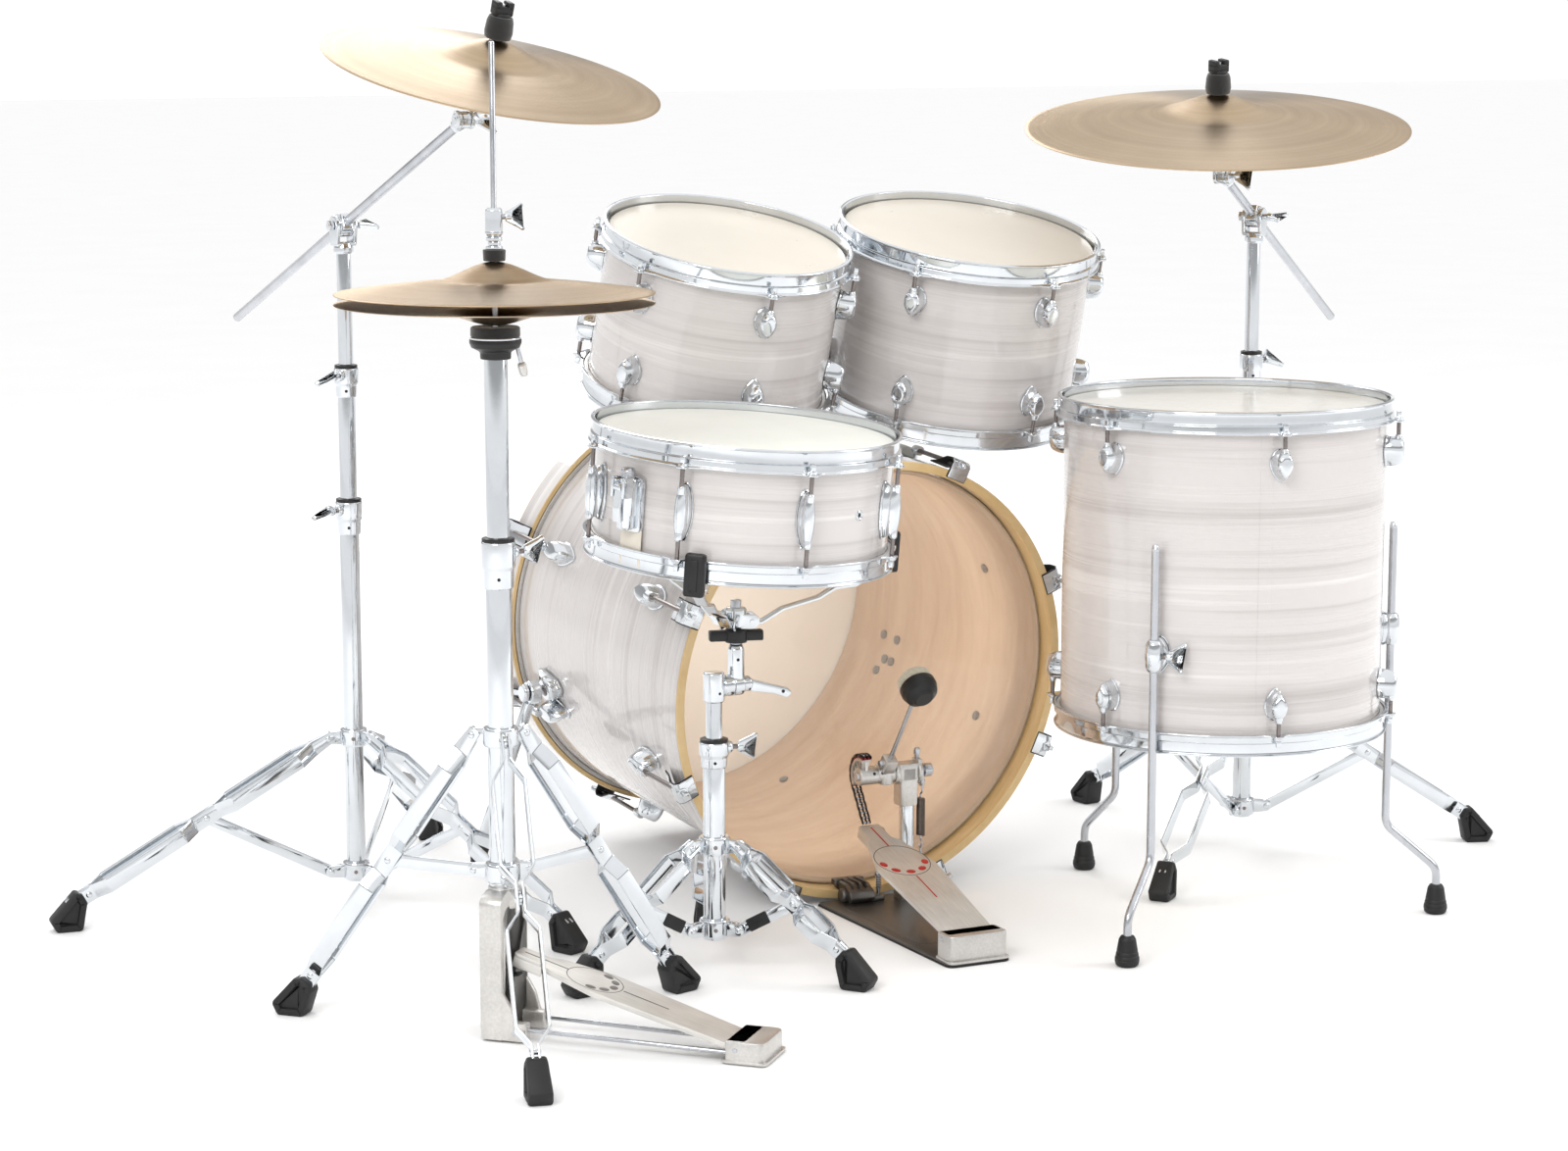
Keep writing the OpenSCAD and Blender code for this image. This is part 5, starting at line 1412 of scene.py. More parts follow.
STAND_POS = Vector(STANDS["snare"]["pos"])
PIVOT = STAND_POS + Vector((24, 2, 352))
GRIPS = (105, 225, 345)


def snare_column():
    """Upper tube, its cap, the fixed half of the tilter and its long wing lever."""
    pole = tube(10, 110, 345, 1.5, 40)
    cap = turned([(0, 334), (11.5, 334), (13, 336), (13, 369), (11.5, 371), (0, 371)], 1.4, 40)
    # dark plastic plug on the cap: painted shade standing in for a hole
    hole = on_x(rod(1.9, 12, 13.2, 0.2, 14, paint=2)).moved(turn("Z", CAMERA_SIDE + 30) @ at(0, 0, 346))
    head_ = join(pole, cap, hole).moved(Matrix.Translation(STAND_POS))
    ear = on_x(turned([(0, -15), (10, -15), (13, -12), (13, 0.6), (0, 0.6)], 1.2,
                      36)).moved(Matrix.Translation(PIVOT))
    axle = on_x(rod(4, -6, 27, 0.6, 20, paint=1)).moved(Matrix.Translation(PIVOT))
    boss_ = on_x(turned([(0, 15.4), (8, 15.4), (9.5, 17), (9.5, 25), (7, 28), (0, 28)], 1.2, 32))
    arm = fillet([(-4, -7), (10, -8), (34, -5.5), (52, -7), (58, 0), (50, 5), (30, 5.5), (-4, 7)], 4, 3)
    lever = slab(arm, -2.6, 2.6, 1.3).moved(turn("Y", 12) @ turn("X", 90))
    spot = on_y(rod(2.2, -2.8, 2.8, 0.2, 14, paint=2)).moved(turn("Y", 12) @ at(46, 0, 0))
    lever = join(lever, spot).moved(at(22, 0, 0) @ turn("Z", -28))
    return join(head_, ear, axle, join(boss_, lever).moved(Matrix.Translation(PIVOT)))


def basket():
    """Tilting post, wing nut, eared hub and three bent straps under the lower hoop (kit millimetres)."""
    axis = PIVOT + Vector((8, 0, 0))
    knuckle = on_x(turned([(0, -6.6), (12, -6.6), (13, -5.5), (13, 5.5), (12, 6.6), (0, 6.6)], 1.0, 36))
    post = turned([(0, 4), (9.5, 4), (10.2, 8), (10, 44), (7.4, 50), (0, 50)], 1.2, 36)
    # dark plastic plug on the post: painted shade standing in for a hole
    hole = on_x(rod(2, 9, 10.3, 0.2, 14, paint=1)).moved(turn("Z", CAMERA_SIDE + 10) @ at(0, 0, 32))
    stem = rod(6.5, 46, 104, 1.0, 28, paint=2)
    nut = turned([(0, 52), (13, 52), (14, 54), (14, 66), (12, 69), (0, 69)], 1.4, 32, paint=1)
    blade = fillet([(8, -7), (26, -6), (33, -8), (33, 8), (25, 6), (8, 7)], 3, 3)
    blades = slab(blade, 54, 67, 2.2, paint=1)
    nut = join(nut, blades, blades.moved(turn("Z", 180))).moved(turn("Z", -20))
    core = turned([(0, 71), (12, 71), (13, 73), (13, 92), (11, 95), (0, 95)], 1.2, 36)
    parts = [join(knuckle, post, hole, stem, nut, core).moved(Matrix.Translation(axis))]
    frame_ = KIT.inverted() @ SNARE["frame"]
    for a in GRIPS:
        spoke = turn("Z", a)
        low = -SNARE["half"]
        reach = s_r + 4
        ear = fillet([(6, -9), (24, -9), (30, -3), (30, 5), (24, 9), (6, 9)], 3, 3)
        ears = [slab(ear, y, y + 2.4, 0.8).moved(turn("X", 90)) for y in (-9.8, 7.4)]
        pin = on_y(turned([(0, -11), (3.4, -11), (3.4, -9.6), (2.4, -9.6), (2.4, 9.6), (3.4, 9.6),
                           (3.4, 11), (0, 11)],
                          0.3, 16)).moved(at(21, 0, 0))
        ear_set = join(ears, pin).moved(at(0, 0, low - 88))
        path = fillet([(8, low - 90), (34, low - 90), (60, low - 73), (104, low - 59), (124, low - 46),
                       (150, low - 42),
                       (reach - 8, low - 26), (reach, low - 23)], 7, 3, closed=False)
        strap_ = sweep([(x, 0, z) for x, z in path], rectangle(-7, -1.7, 7, 1.7, 0.8), up=(0, 1, 0))
        shelf = block((s_r - 8, -12, low - 24), (s_r + 16, 12, low - 19.6), 3, 1.2)
        hook = block((s_r + 4, -9, low - 24), (s_r + 15.4, 9, low - 11.4), 2.5, 1.4)
        pad = slab(rectangle(s_r + 9.8, -12.4, s_r + 22, 12.4, 4.2), low - 25, low + 26, 3.6, paint=1)
        rib = block((s_r + 21.4, -4.5, low - 18), (s_r + 23.4, 4.5, low + 19), 2, 1.2, paint=1)
        parts.append(join(ear_set, strap_, shelf, hook, pad, rib).moved(frame_ @ spoke))
    return join(parts)


piece("snare_stand_column", "snare_upper", snare_column(), STAND_METAL, KIT, ["snare_upper_tube"])
piece("snare_stand_basket", "snare_basket", basket(), [CHROME, PLASTIC, STEEL], KIT, ["snare_basket"])

# ---------------------------------------------------------------- pedals

PEDAL_PAINT = [BOARD, STEEL, RUBBER, BLACK_INK, RED, GREY_INK]
LINE_, RED_, GREY_ = (PEDAL_PAINT.index(m) for m in (BLACK_INK, RED, GREY_INK))


def ring_inlay(r, width, z, squash=1.0, paint=3, n=64):
    """A thin printed ring lying on a plate's top."""
    shape = lathe([(r, z - 0.4), (r + width, z - 0.4), (r + width, z + 0.12), (r, z + 0.12)], n,
                  paint=paint)
    shape.points[:, 1] *= squash
    return shape


def footboard(length, heel_half, wide_half, toe_half, dots, lines):
    """Tapered plate from its hinge at the origin to the toe at x = -length, with skirts, inlays and hinge."""
    shoulder = -0.84 * length
    outline = fillet([(5, -heel_half), (5, heel_half), (-0.62 * length, wide_half),
                      (shoulder, toe_half + 9),
                      (shoulder - 10, toe_half), (-length, toe_half), (-length, -toe_half),
                      (shoulder - 10, -toe_half), (shoulder, -toe_half - 9), (-0.62 * length, -wide_half)],
                     [5, 5, 46, 22, 9, 5, 5, 9, 22, 46], 7)
    plate = slab(outline, -2.5, 2.5, 1.1)
    rim = slab(inset(outline, 3.2), -5.2, -2.2, 0.6)
    ribs = [block((-0.78 * length, y - 1.4, -8.5), (-14, y + 1.4, -2.2), 1, 0.5) for y in (-14, 14)]
    cheeks = [block((-length + 1, y, -14), (shoulder - 8, y + 3, -2), 2, 0.8) for y in (-toe_half + 0.4,
                                                                                        toe_half - 3.4)]
    hinge = on_y(turned([(0, -heel_half), (5.5, -heel_half), (5.5, heel_half), (0, heel_half)], 0.8, 28))
    centre = -0.66 * length
    ring = ring_inlay(wide_half - 4, 1.0, 2.5, 0.93).moved(at(centre, 0, 0))
    marks = []
    for a in (-80, -42, -4, 34, 72):
        spot = turned([(0, 2.2), (6.4, 2.2), (6.4, 2.66), (0, 2.7)], 0.2, 24, paint=dots)
        spot.points[:, 0] *= 0.72
        marks.append(spot.moved(turn("Z", a) @ at(wide_half - 12.5, 0, 0)))
    marks = join(marks).moved(at(centre, 0, 0))
    heel_line = block((centre + wide_half - 1, -1.1, 2.2), (centre + wide_half + 56, 1.1, 2.62), 0.6, 0.1,
                      paint=lines)
    toe_line = block((-length + 8, -1.1, 2.2), (centre - wide_half + 4, 1.1, 2.62), 0.6, 0.1, paint=lines)
    return join(plate, rim, ribs, cheeks, hinge, ring, marks, heel_line, toe_line)


def heel_block(x0, x1, half, z0, z1, axis_x, axis_z):
    """Rounded heel casting: two cheeks and a solid back round the footboard's hinge pin."""
    wall = 6.4
    back = axis_x + 8
    outline = fillet([(x0, -half), (x1, -half), (x1, half), (x0, half), (x0, half - wall),
                      (back, half - wall),
                      (back, wall - half), (x0, wall - half)], [3, 11, 11, 3, 1.5, 2, 2, 1.5], 5)
    casting = slab(outline, z0, z1, 2.2)
    sole = slab(rectangle(x0 - 6, -half - 1, x1 + 3, half + 1, 7), z0 - 0.4, z0 + 3, 0.8)
    pin = on_y(rod(3, -half - 0.8, half + 0.8, 0.5, 20, paint=1)).moved(at(axis_x, 0, axis_z))
    return join(casting, sole, pin)


KICK = KIT @ at(-20, 20, 0) @ turn("Z", -95)
AXLE_X, AXLE_Z = 33, 175
POST_Y = 63
KICK_TOE = Vector((46, 0, 111))
KICK_HEEL = Vector((325, 0, 32))
BEATER_Y = 30
BEATER_AT = Vector((126, BEATER_Y, 305))
CAM_R = 24

plate_line = [(1, -50), (KICK_HEEL.x + 22, -42), (KICK_HEEL.x + 22, 42), (80, 84), (1, 84)]
base_plate = join(slab(fillet(plate_line, [6, 12, 12, 20, 6], 5), 1.6, 5, 0.6),
                  slab(fillet(inset(plate_line, -1.4), [6, 12, 12, 20, 6], 5), 0, 2.4, 0.6, paint=2))
dish = slab(fillet([(34, -34), (250, -30), (250, 26), (88, 58), (34, 58)], 14, 4), 4.6, 5.5, 0.3)
piece("kick_base_plate", "root", join(base_plate, dish), [PLATE, STEEL, RUBBER], KICK)


def hoop_clamp():
    """Cast clamp on the base plate that grips the bass drum hoop, with its screw and spring."""
    side = fillet([(-1, 4.6), (30, 4.6), (34, 12), (30, 20), (14, 28), (-18, 29), (-18, 18.6), (-1, 18.6)],
                  [1, 4, 5, 5, 5, 2, 1, 2], 3)
    body = slab(side, -18, 18, 2.0).moved(turn("X", 90))
    lip = block((-18.5, -22, 22), (-6, 22, 30), 3, 1.4)
    pads = block((-18, -17, 18.2), (-3, 17, 20), 1.5, 0.4, paint=2)
    boss_ = on_y(turned([(0, -24), (8, -24), (10, -22), (10, -14), (0, -14)], 1.2, 32)).moved(at(14, 0, 13))
    screw = join(rod(2.6, 5, 40, 0.4, 16, paint=1),
                 turned([(0, 38), (5, 38), (5, 43), (0, 44)], 0.7, 20, paint=1),
                 [lathe([(2.8, z), (4.4, z + 0.7), (2.8, z + 1.4)], 16, paint=1) for z in np.arange(20.0,
                                                                                                    36.0,
                                                                                                    2.2)])
    ribs = [block((-14, y - 1.3, 24), (24, y + 1.3, 31), 1, 0.6) for y in (-10, 0, 10)]
    return join(body, lip, pads, boss_, screw.moved(at(24, 27, 0)),
                block((12, 14, 5), (32, 33, 12), 3, 1.2), ribs)


def kick_post():
    """Slotted post, the L-shaped axle housing, its collar and the hex adjusting end."""
    foot = block((AXLE_X - 13, POST_Y - 13, 4.4), (AXLE_X + 13, POST_Y + 13, 34), 4, 2)
    post = turned([(0, 5), (9.6, 5), (9.6, AXLE_Z - 20), (0, AXLE_Z - 20)], 0.6, 40, paint=3)
    # dark rubber strip on the post's side: painted shade standing in for its slot
    slot = block((AXLE_X - 10.2, POST_Y - 2, 36), (AXLE_X - 8, POST_Y + 2, AXLE_Z - 30), 0.5, 0.3, paint=2)
    upright = block((AXLE_X - 12, POST_Y - 14, AXLE_Z - 44), (AXLE_X + 12, POST_Y + 11, AXLE_Z + 8), 4, 2.4)
    arm = block((AXLE_X - 12, POST_Y - 17, AXLE_Z - 12), (AXLE_X + 12, POST_Y + 14, AXLE_Z + 13), 6, 3)
    ring = lathe(fillet([(6.6, -3), (14, -3), (15, -1.5), (15, 1.5), (14, 3), (6.6, 3)], 0.8, 2), 36)
    knob = turned([(0, 0), (9, 0), (9, 3)] + [(8.4 + 0.4 * (i % 2), 3.5 + i) for i in range(8)] + [(7, 12),
                                                                                                   (0, 12)],
                  0.2,
                  32, paint=1, steps=1)
    end = on_y(join(ring.moved(at(0, 0, POST_Y - 18)), ring.moved(at(0, 0, POST_Y + 15)),
                    knob.moved(at(0, 0, POST_Y + 24))))
    end = end.moved(at(AXLE_X, 0, AXLE_Z))
    collar_ = block((AXLE_X - 10, POST_Y + 12, AXLE_Z - 10), (AXLE_X + 10, POST_Y + 19, AXLE_Z + 17), 4,
                    1.6)
    bolt = turned([(0, 12), (3.4, 12), (3.4, 22), (4.6, 22), (4.6, 29), (2.6, 31), (0, 31)], 0.6, 20,
                  paint=1)
    return join(foot, post.moved(at(AXLE_X, POST_Y, 0)), slot, upright, arm, end, collar_,
                bolt.moved(at(AXLE_X, POST_Y + 15, AXLE_Z)))


piece("kick_hoop_clamp", "root", hoop_clamp(), [PLATE, STEEL, RUBBER], KICK)
piece("kick_post_and_heel", "root",
      join(kick_post(),
           heel_block(KICK_HEEL.x - 12, KICK_HEEL.x + 22, 41, 4.8, 39, KICK_HEEL.x, KICK_HEEL.z)),
      [ALLOY, STEEL, RUBBER, CHROME], KICK, ["kick_frame"])

kick_rise = degrees(atan2(KICK_TOE.z - KICK_HEEL.z, KICK_HEEL.x - KICK_TOE.x))
piece("kick_pedal_board", "kick_footboard",
      footboard((KICK_HEEL - KICK_TOE).length, 34, 42, 15, RED_, RED_), PEDAL_PAINT,
      KICK @ Matrix.Translation(KICK_HEEL) @ turn("Y", kick_rise), ["kick_footboard"])


def cam():
    """Spoked quarter cam with its red strip, the axle barrel and the clamp for the beater's shaft."""
    rim = []
    for k in range(19):
        a = radians(70 + 150 * k / 18)
        rim.append((CAM_R * cos(a), CAM_R * sin(a)))
    inner = [(x * 0.84, z * 0.84) for x, z in rim][::-1]
    arc = slab(rim + inner, -7, 7, 0.8).moved(turn("X", 90))
    strip = slab([(x * 1.09, z * 1.09) for x, z in rim] + [(x * 1.005, z * 1.005) for x, z in rim][::-1],
                 -6, 6, 0.4,
                 paint=2).moved(turn("X", 90))
    web = slab([(x * 0.9, z * 0.9) for x, z in rim] + [(7, -8), (9, 6)], -2, 2, 0.5).moved(turn("X", 90))
    spokes = [block((6, -5, -1.6), (CAM_R - 2, 5, 1.6), 1, 0.6).moved(turn("Y", -a)) for a in (75, 100, 125,
                                                                                               150, 175,
                                                                                               205)]
    barrel = on_y(turned([(0, -9), (11, -9), (12, -7.5), (12, 16), (11, 17), (11, 18), (12, 19), (12, 42),
                          (0, 42)], 0.6,
                         40, paint=0))
    screws = [on_x(rod(2.2, 11.4, 12.2, 0.2, 12, paint=3)).moved(at(0, y, 0) @ turn("Y", a))
              for y, a in ((10, -20), (22, -20), (36, -60))]
    return join(arc, strip, web, spokes, barrel, screws)


def beater():
    """Cam and axle with the beater's shaft and two-faced head; the axle is at AXLE_X, AXLE_Z."""
    axle = on_y(turned([(0, -12), (6, -12), (6, POST_Y + 27), (0, POST_Y + 27)], 0.6, 28, paint=1))
    hub_ = block((-13, BEATER_Y - 9, -13), (13, BEATER_Y + 9, 13), 8, 2.4)
    v = BEATER_AT - Vector((AXLE_X, BEATER_Y, AXLE_Z))
    lean = degrees(atan2(v.x, v.z))
    jaw = join(block((-9, -9, 8), (9, 9, 30), 3, 1.8),
               on_x(turned([(0, 8), (4.6, 8), (4.6, 14), (0, 15)], 0.6, 6, paint=1))
               .moved(at(0, 0, 21) @ turn("Z", -90))).moved(at(0, BEATER_Y, 0) @ turn("Y", lean))
    shaft = bar((0, BEATER_Y, 0), (v.x, BEATER_Y, v.z), 3, 0.4, 20, paint=1)
    black = lathe(fillet([(0, -21), (11, -21), (13, -20), (15, -17.5), (21, -13), (24, -4), (24, 5),
                          (0, 5)], 2.2, 4,
                         closed=False), 48, closed=False, paint=4)
    felt = lathe(fillet([(0, 5), (22.6, 5), (23.4, 9), (22, 17), (17, 21.5), (0, 23)], 2.4, 4,
                        closed=False), 48,
                 closed=False, paint=5)
    head_ = join(black, felt).moved(at(v.x, BEATER_Y, v.z) @ turn("Y", lean - 90))
    return join(cam(), axle, hub_, jaw, shaft, head_)


piece("kick_beater_and_cam", "kick_beater", beater(), [ALLOY, STEEL, RED, BLACK_INK, PLASTIC, FELT],
      KICK @ at(AXLE_X, 0, AXLE_Z), ["kick_beater"])

CHAIN_PITCH = 6.35


def chain(points):
    """Double-row roller chain along a line of points in the xz plane."""
    parts = []
    plate = []
    for k in range(9):
        a = radians(90 + 180 * k / 8)
        plate.append((-CHAIN_PITCH / 2 + 2.5 * cos(a), 2.5 * sin(a)))
    for k in range(9):
        a = radians(-90 + 180 * k / 8)
        plate.append((CHAIN_PITCH / 2 + 2.5 * cos(a), 2.5 * sin(a)))
    for i, (a, b) in enumerate(zip(points, points[1:])):
        middle = Matrix.Translation((Vector(a) + Vector(b)) / 2)
        tilt = turn("Y", -degrees(atan2(b[2] - a[2], b[0] - a[0])))
        wide = 0.5 if i % 2 else 0.0
        plates = [slab(plate, y - 0.45, y + 0.45, 0.15).moved(turn("X", 90)) for y in (-5.2 - wide, -wide,
                                                                                       wide + 5.2)]
        parts.append(join(plates).moved(middle @ tilt))
        parts.append(on_y(rod(1.6, -5.4, 5.4, 0.2, 12, paint=1)).moved(Matrix.Translation(Vector(a))))
    return join(parts)


def chain_points():
    """Pin centres: from the toe up to the cam's front, then round its rim."""
    low = Vector((KICK_TOE.x - 5 - AXLE_X, 0, KICK_TOE.z + 4 - AXLE_Z))
    r = CAM_R + 3.6
    away = low.length
    bend = atan2(low.z, low.x) - acos(r / away)
    run = sqrt(away * away - r * r)
    touch = Vector((r * cos(bend), 0, r * sin(bend)))
    count = round(run / CHAIN_PITCH)
    straight = [low + (touch - low) * (i / count) for i in range(count + 1)]
    step = CHAIN_PITCH / r
    wrapped = [Vector((r * cos(bend - step * i), 0, r * sin(bend - step * i))) for i in range(0, 12)]
    return straight, wrapped


hanging, wrapped = chain_points()
AXLE = KICK @ at(AXLE_X, 0, AXLE_Z)
hanging_chain = piece("kick_chain_run", None, chain(hanging), [CHAIN, STEEL], AXLE, ["kick_chain"])
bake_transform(hanging_chain)
piece("kick_chain_on_cam", "kick_beater", chain(wrapped), [CHAIN, STEEL], AXLE)


def kick_spring():
    """Close-wound return spring with a hook at each end."""
    turns, r, wire_r = 26, 5.0, 1.05
    points = []
    for i in range(turns * 14 + 1):
        a = 2 * pi * i / 14
        points.append((r * cos(a), r * sin(a), 88 + 50 * i / (turns * 14)))
    coil = sweep(points, circle(wire_r, 6))
    core = rod(4.2, 88, 138, 0.4, 16)
    top_hook = wire([(0, 0, 138), (0, 0, 144), (5, 0, 148), (5, 0, 155), (0, 0, 160), (-4, 0, 156)], 1.3,
                    2.4, 10, paint=1)
    low_hook = wire([(0, 0, 88), (0, 0, 83), (4, 0, 79), (3, 0, 73), (-2, 0, 71), (-4, 0, 76)], 1.3, 2.4,
                    10, paint=1)
    return join(coil, core, top_hook, low_hook)


def spring_fittings():
    """Eye bolt that rises from the plate, and the rocker on the axle's end that pulls the spring."""
    stud = join(rod(2.6, 5, 66, 0.4, 16), turned([(0, 22), (6, 22), (6, 30), (0, 30)], 0.8, 6),
                turned([(0, 44), (6.4, 44), (6.4, 49), (0, 49)], 0.8, 24),
                wire([(0, 0, 64), (0, 0, 72), (4, 0, 76)], 1.4, 2, 10))
    rocker = join(block((-5, -3, -21), (5, 3, 6), 3, 1.4),
                  on_y(rod(2, -5, 5, 0.4, 14)).moved(at(0, 0, -15)))
    return join(stud, rocker.moved(at(0, 1, AXLE_Z)))


piece("kick_return_spring", "root", kick_spring(), [SPRING, STEEL], KICK @ at(AXLE_X, POST_Y + 21, 0),
      ["kick_spring"])
piece("kick_spring_fittings", "root", spring_fittings(), [STEEL], KICK @ at(AXLE_X, POST_Y + 21, 0))

# ---------------------------------------------------------------- hi-hat pedal

HAT_PEDAL = KIT @ at(*STANDS["hihat"]["pos"]) @ turn("Z", -49.4)
HAT_HEEL = Vector((292, 0, 17))
HAT_TOE = Vector((18, 0, 98))
UPRIGHT_Y = 36


def hat_frame():
    """Pressed U-frame with rounded shoulders, its neck, the foot brackets, bumper and radius rods."""
    outer = fillet([(-UPRIGHT_Y - 3, 2.6), (-UPRIGHT_Y - 3, 165), (-18, 172), (18, 172),
                    (UPRIGHT_Y + 3, 165),
                    (UPRIGHT_Y + 3, 2.6), (UPRIGHT_Y - 3.2, 2.6), (UPRIGHT_Y - 3.2, 140),
                    (UPRIGHT_Y - 14, 152),
                    (14 - UPRIGHT_Y, 152), (3.2 - UPRIGHT_Y, 140), (3.2 - UPRIGHT_Y, 2.6)],
                   [1, 12, 6, 6, 12, 1, 1, 12, 6, 6, 12, 1], 4)
    arch = slab(outer, -13.5, 13.5, 1.6).moved(turn("Z", 90) @ turn("X", 90))
    neck = turned([(0, 150), (19, 150), (19, 160), (17, 168), (17, 174), (0, 174)], 1.6, 48)
    bumper = block((-12, -13, 128), (12, 13, 151.6), 3, 2, paint=2)
    feet = []
    for s in (-1, 1):
        line = fillet([(12, 3), (40, 3), (40, 16), (30, 21), (24, 42), (12, 62)], [0, 2, 3, 6, 8, 2], 3)
        feet.append(slab(line, -2.6, 2.6, 0.8).moved(at(0, s * UPRIGHT_Y, 0) @ turn("X", 90)))
        feet.append(block((8, s * 27.5 - 7, 2.6), (41, s * 27.5 + 7, 23), 3, 1.6))
        feet.append(on_y(turned([(0, -1), (2.8, -1), (2.8, 1), (0, 1.2)], 0.3, 16, paint=1)).moved(
            at(28, s * (UPRIGHT_Y + 2.6), 12)))
        feet.append(bar((36, s * 28, 15), (HAT_HEEL.x - 8, s * 25, 11), 2.7, 0.4, 18, paint=1))
    return join(arch, neck, bumper, feet)


def toothed_strap():
    """Strap from the rod's socket down to the toe, with its steel link."""
    link = join(block((-2.4, -5, 96), (2.4, 5, 124), 2, 0.8, paint=1),
                on_x(turned([(0, -4), (3.4, -4), (3.4, 4), (0, 4)], 0.5, 16, paint=1)).moved(at(0, 0, 118)))
    section = rectangle(-6.5, -1.6, 6.5, 1.6, 0.6)
    path = curve([(3, 0, 110), (5, 0, 84), (9, 0, 70), (20, 0, 72)], 8, 5)
    strap_ = sweep(path, section, up=(0, 1, 0), paint=0)
    teeth = []
    for i in range(9):
        z = 106 - 4.1 * i
        teeth.append(on_y(rod(1.7, -6, 6, 0.4, 10)).moved(at(4.6 + 0.18 * i, 0, z)))
    return join(link, strap_, teeth)


piece("hihat_pedal_frame", "root",
      join(hat_frame(), heel_block(HAT_HEEL.x - 12, HAT_HEEL.x + 34, 36, 2.2, 27, HAT_HEEL.x, HAT_HEEL.z)),
      [ALLOY, STEEL, RUBBER], HAT_PEDAL, ["hihat_frame"])
hat_rise = degrees(atan2(HAT_TOE.z - HAT_HEEL.z, HAT_HEEL.x - HAT_TOE.x))
piece("hihat_pedal_board", "hihat_footboard",
      footboard((HAT_HEEL - HAT_TOE).length, 30, 37, 14, GREY_, LINE_),
      PEDAL_PAINT, HAT_PEDAL @ Matrix.Translation(HAT_HEEL) @ turn("Y", hat_rise), ["hihat_footboard"])
piece("hihat_pedal_strap", "hihat_rod", toothed_strap(), [RUBBER, STEEL], HAT_PEDAL)

# ---------------------------------------------------------------- materials of the CAD nodes under the pieces

SLOT_MATERIAL = dict(chrome=CHROME, bronze=BRONZE, rubber=RUBBER, satin_steel=STEEL, pedal_alloy=ALLOY,
                     pedal_steel=PLATE, chain=CHAIN, spring=SPRING, wrap=WRAP, drum_head=PALE,
                     wood_hoop=MAPLE)
node_slot = {s["node"]: s["material_slot"] for s in frame["record"]["subparts"]}
for node_name, node_object in frame["nodes"].items():
    node_object.data.materials.clear()
    node_object.data.materials.append(SLOT_MATERIAL[node_slot[node_name]])

# ---------------------------------------------------------------- studio


FLOOR_REACH = 40.0                                 # metres from the middle to the floor's edge
FLOOR_TONES = [(0.3, 0.93), (0.7, 0.945)]
SKY = [(0.0, 1.06), (0.10, 1.06), (0.17, 0.50), (0.34, 0.42), (0.44, 1.10), (1.0, 1.18)]
LAMP_TARGET = Vector((0, 0, 0.55))
LAMPS = [("key", (-3.2, -2.4, 3.0), (2.2, 1.6), 80), ("fill", (3.4, -2.2, 2.4), (1.6, 2.2), 50),
         ("back", (0.4, 3.6, 3.2), (3.0, 1.4), 58)]
GLOW_COLOUR = (0.96, 0.98, 1.0)
GLOWS = [("bass_glow", "POINT", 0.14, 0.55, at(-60, -40, 250)),
         ("front_head_glow", "AREA", 0.42, 1.25, at(0, 0, 60) @ turn("X", 180))]


def studio_floor():
    """A wide pale floor, so near white that it runs into the surroundings."""
    mesh = bpy.data.meshes.new("floor")
    r = FLOOR_REACH
    mesh.from_pydata([(-r, -r, 0), (r, -r, 0), (r, r, 0), (-r, r, 0)], [], [(0, 1, 2, 3)])
    floor = bpy.data.objects.new("studio_floor", mesh)
    bpy.context.scene.collection.objects.link(floor)
    p = Paint("studio_floor", Roughness=0.75, Specular_IOR_Level=0.15)
    mottle = p.noise(p.place(), 3.0, 2.0)
    p.feed("Base Color", p.ramp(mottle, FLOOR_TONES))
    mesh.materials.append(p.material)


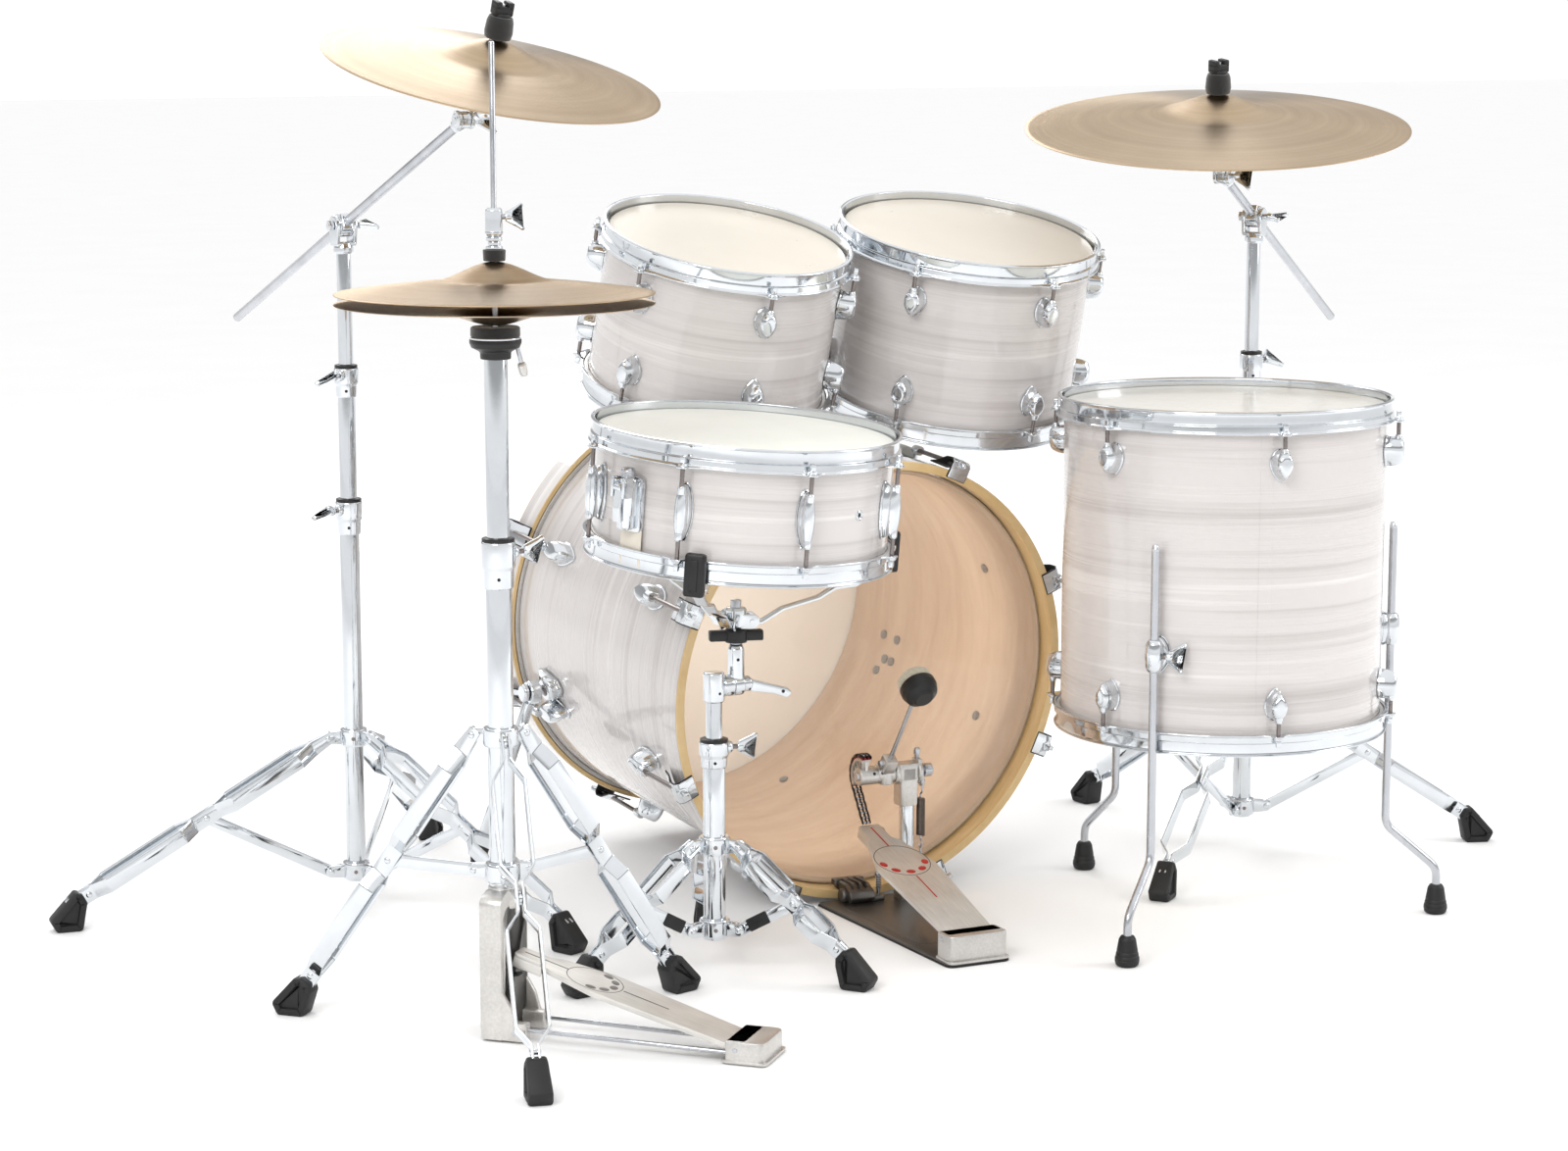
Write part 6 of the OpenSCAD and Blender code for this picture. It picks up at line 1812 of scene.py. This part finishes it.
def surroundings():
    """White all round, with one darker band above the horizon for the chrome to mirror."""
    world = bpy.data.worlds.new("studio")
    world.use_nodes = True
    tree = world.node_tree
    background = tree.nodes["Background"]
    background.inputs["Strength"].default_value = 1.0
    direction = tree.nodes.new("ShaderNodeTexCoord").outputs["Generated"]
    split = tree.nodes.new("ShaderNodeSeparateXYZ")
    tree.links.new(direction, split.inputs[0])
    ramp = tree.nodes.new("ShaderNodeValToRGB")
    tree.links.new(split.outputs["Z"], ramp.inputs["Fac"])
    elements = ramp.color_ramp.elements
    while len(elements) < len(SKY):
        elements.new(0.5)
    for element, (position, tone) in zip(elements, SKY):
        element.position = position
        element.color = [tone, tone, tone, 1]
    tree.links.new(ramp.outputs["Color"], background.inputs["Color"])
    bpy.context.scene.world = world


def lamps():
    for name, place, size, power in LAMPS:
        data = bpy.data.lights.new(name, "AREA")
        data.shape = "RECTANGLE"
        data.size, data.size_y = size
        data.energy = power
        lamp = bpy.data.objects.new(name, data)
        lamp.location = place
        lamp.rotation_euler = (LAMP_TARGET - Vector(place)).to_track_quat("-Z", "Y").to_euler()
        bpy.context.scene.collection.objects.link(lamp)


def glows():
    """The light that the pale front head lets into the bass drum."""
    for name, kind, size, power, matrix in GLOWS:
        glow = bpy.data.lights.new(name, kind)
        glow.energy = power
        glow.color = GLOW_COLOUR
        if kind == "AREA":
            glow.shape, glow.size = "DISK", size
        else:
            glow.shadow_soft_size = size
        inside = bpy.data.objects.new(name, glow)
        place = BASS @ matrix
        inside.matrix_world = Matrix.Translation(place.translation * MM) @ place.to_3x3().to_4x4()
        inside.visible_camera = False
        inside.visible_glossy = False
        bpy.context.scene.collection.objects.link(inside)


CAMERA_PLACE = (-2.3941, -3.866, 1.158)
CAMERA_PITCH = -9.585
CAMERA_YAW = -30.8
CAMERA_LENS = 81.2
CAMERA_SHIFT = 0.019


def camera():
    data = bpy.data.cameras.new("camera")
    data.lens = CAMERA_LENS
    data.sensor_width = 36.0
    data.shift_y = CAMERA_SHIFT
    data.clip_end = 200.0
    made = bpy.data.objects.new("camera", data)
    made.location = CAMERA_PLACE
    made.rotation_euler = (radians(90 + CAMERA_PITCH), 0.0, radians(CAMERA_YAW))
    bpy.context.scene.collection.objects.link(made)
    bpy.context.scene.camera = made


studio_floor()
surroundings()
lamps()
glows()
camera()
bpy.context.scene.view_settings.view_transform = "Standard"
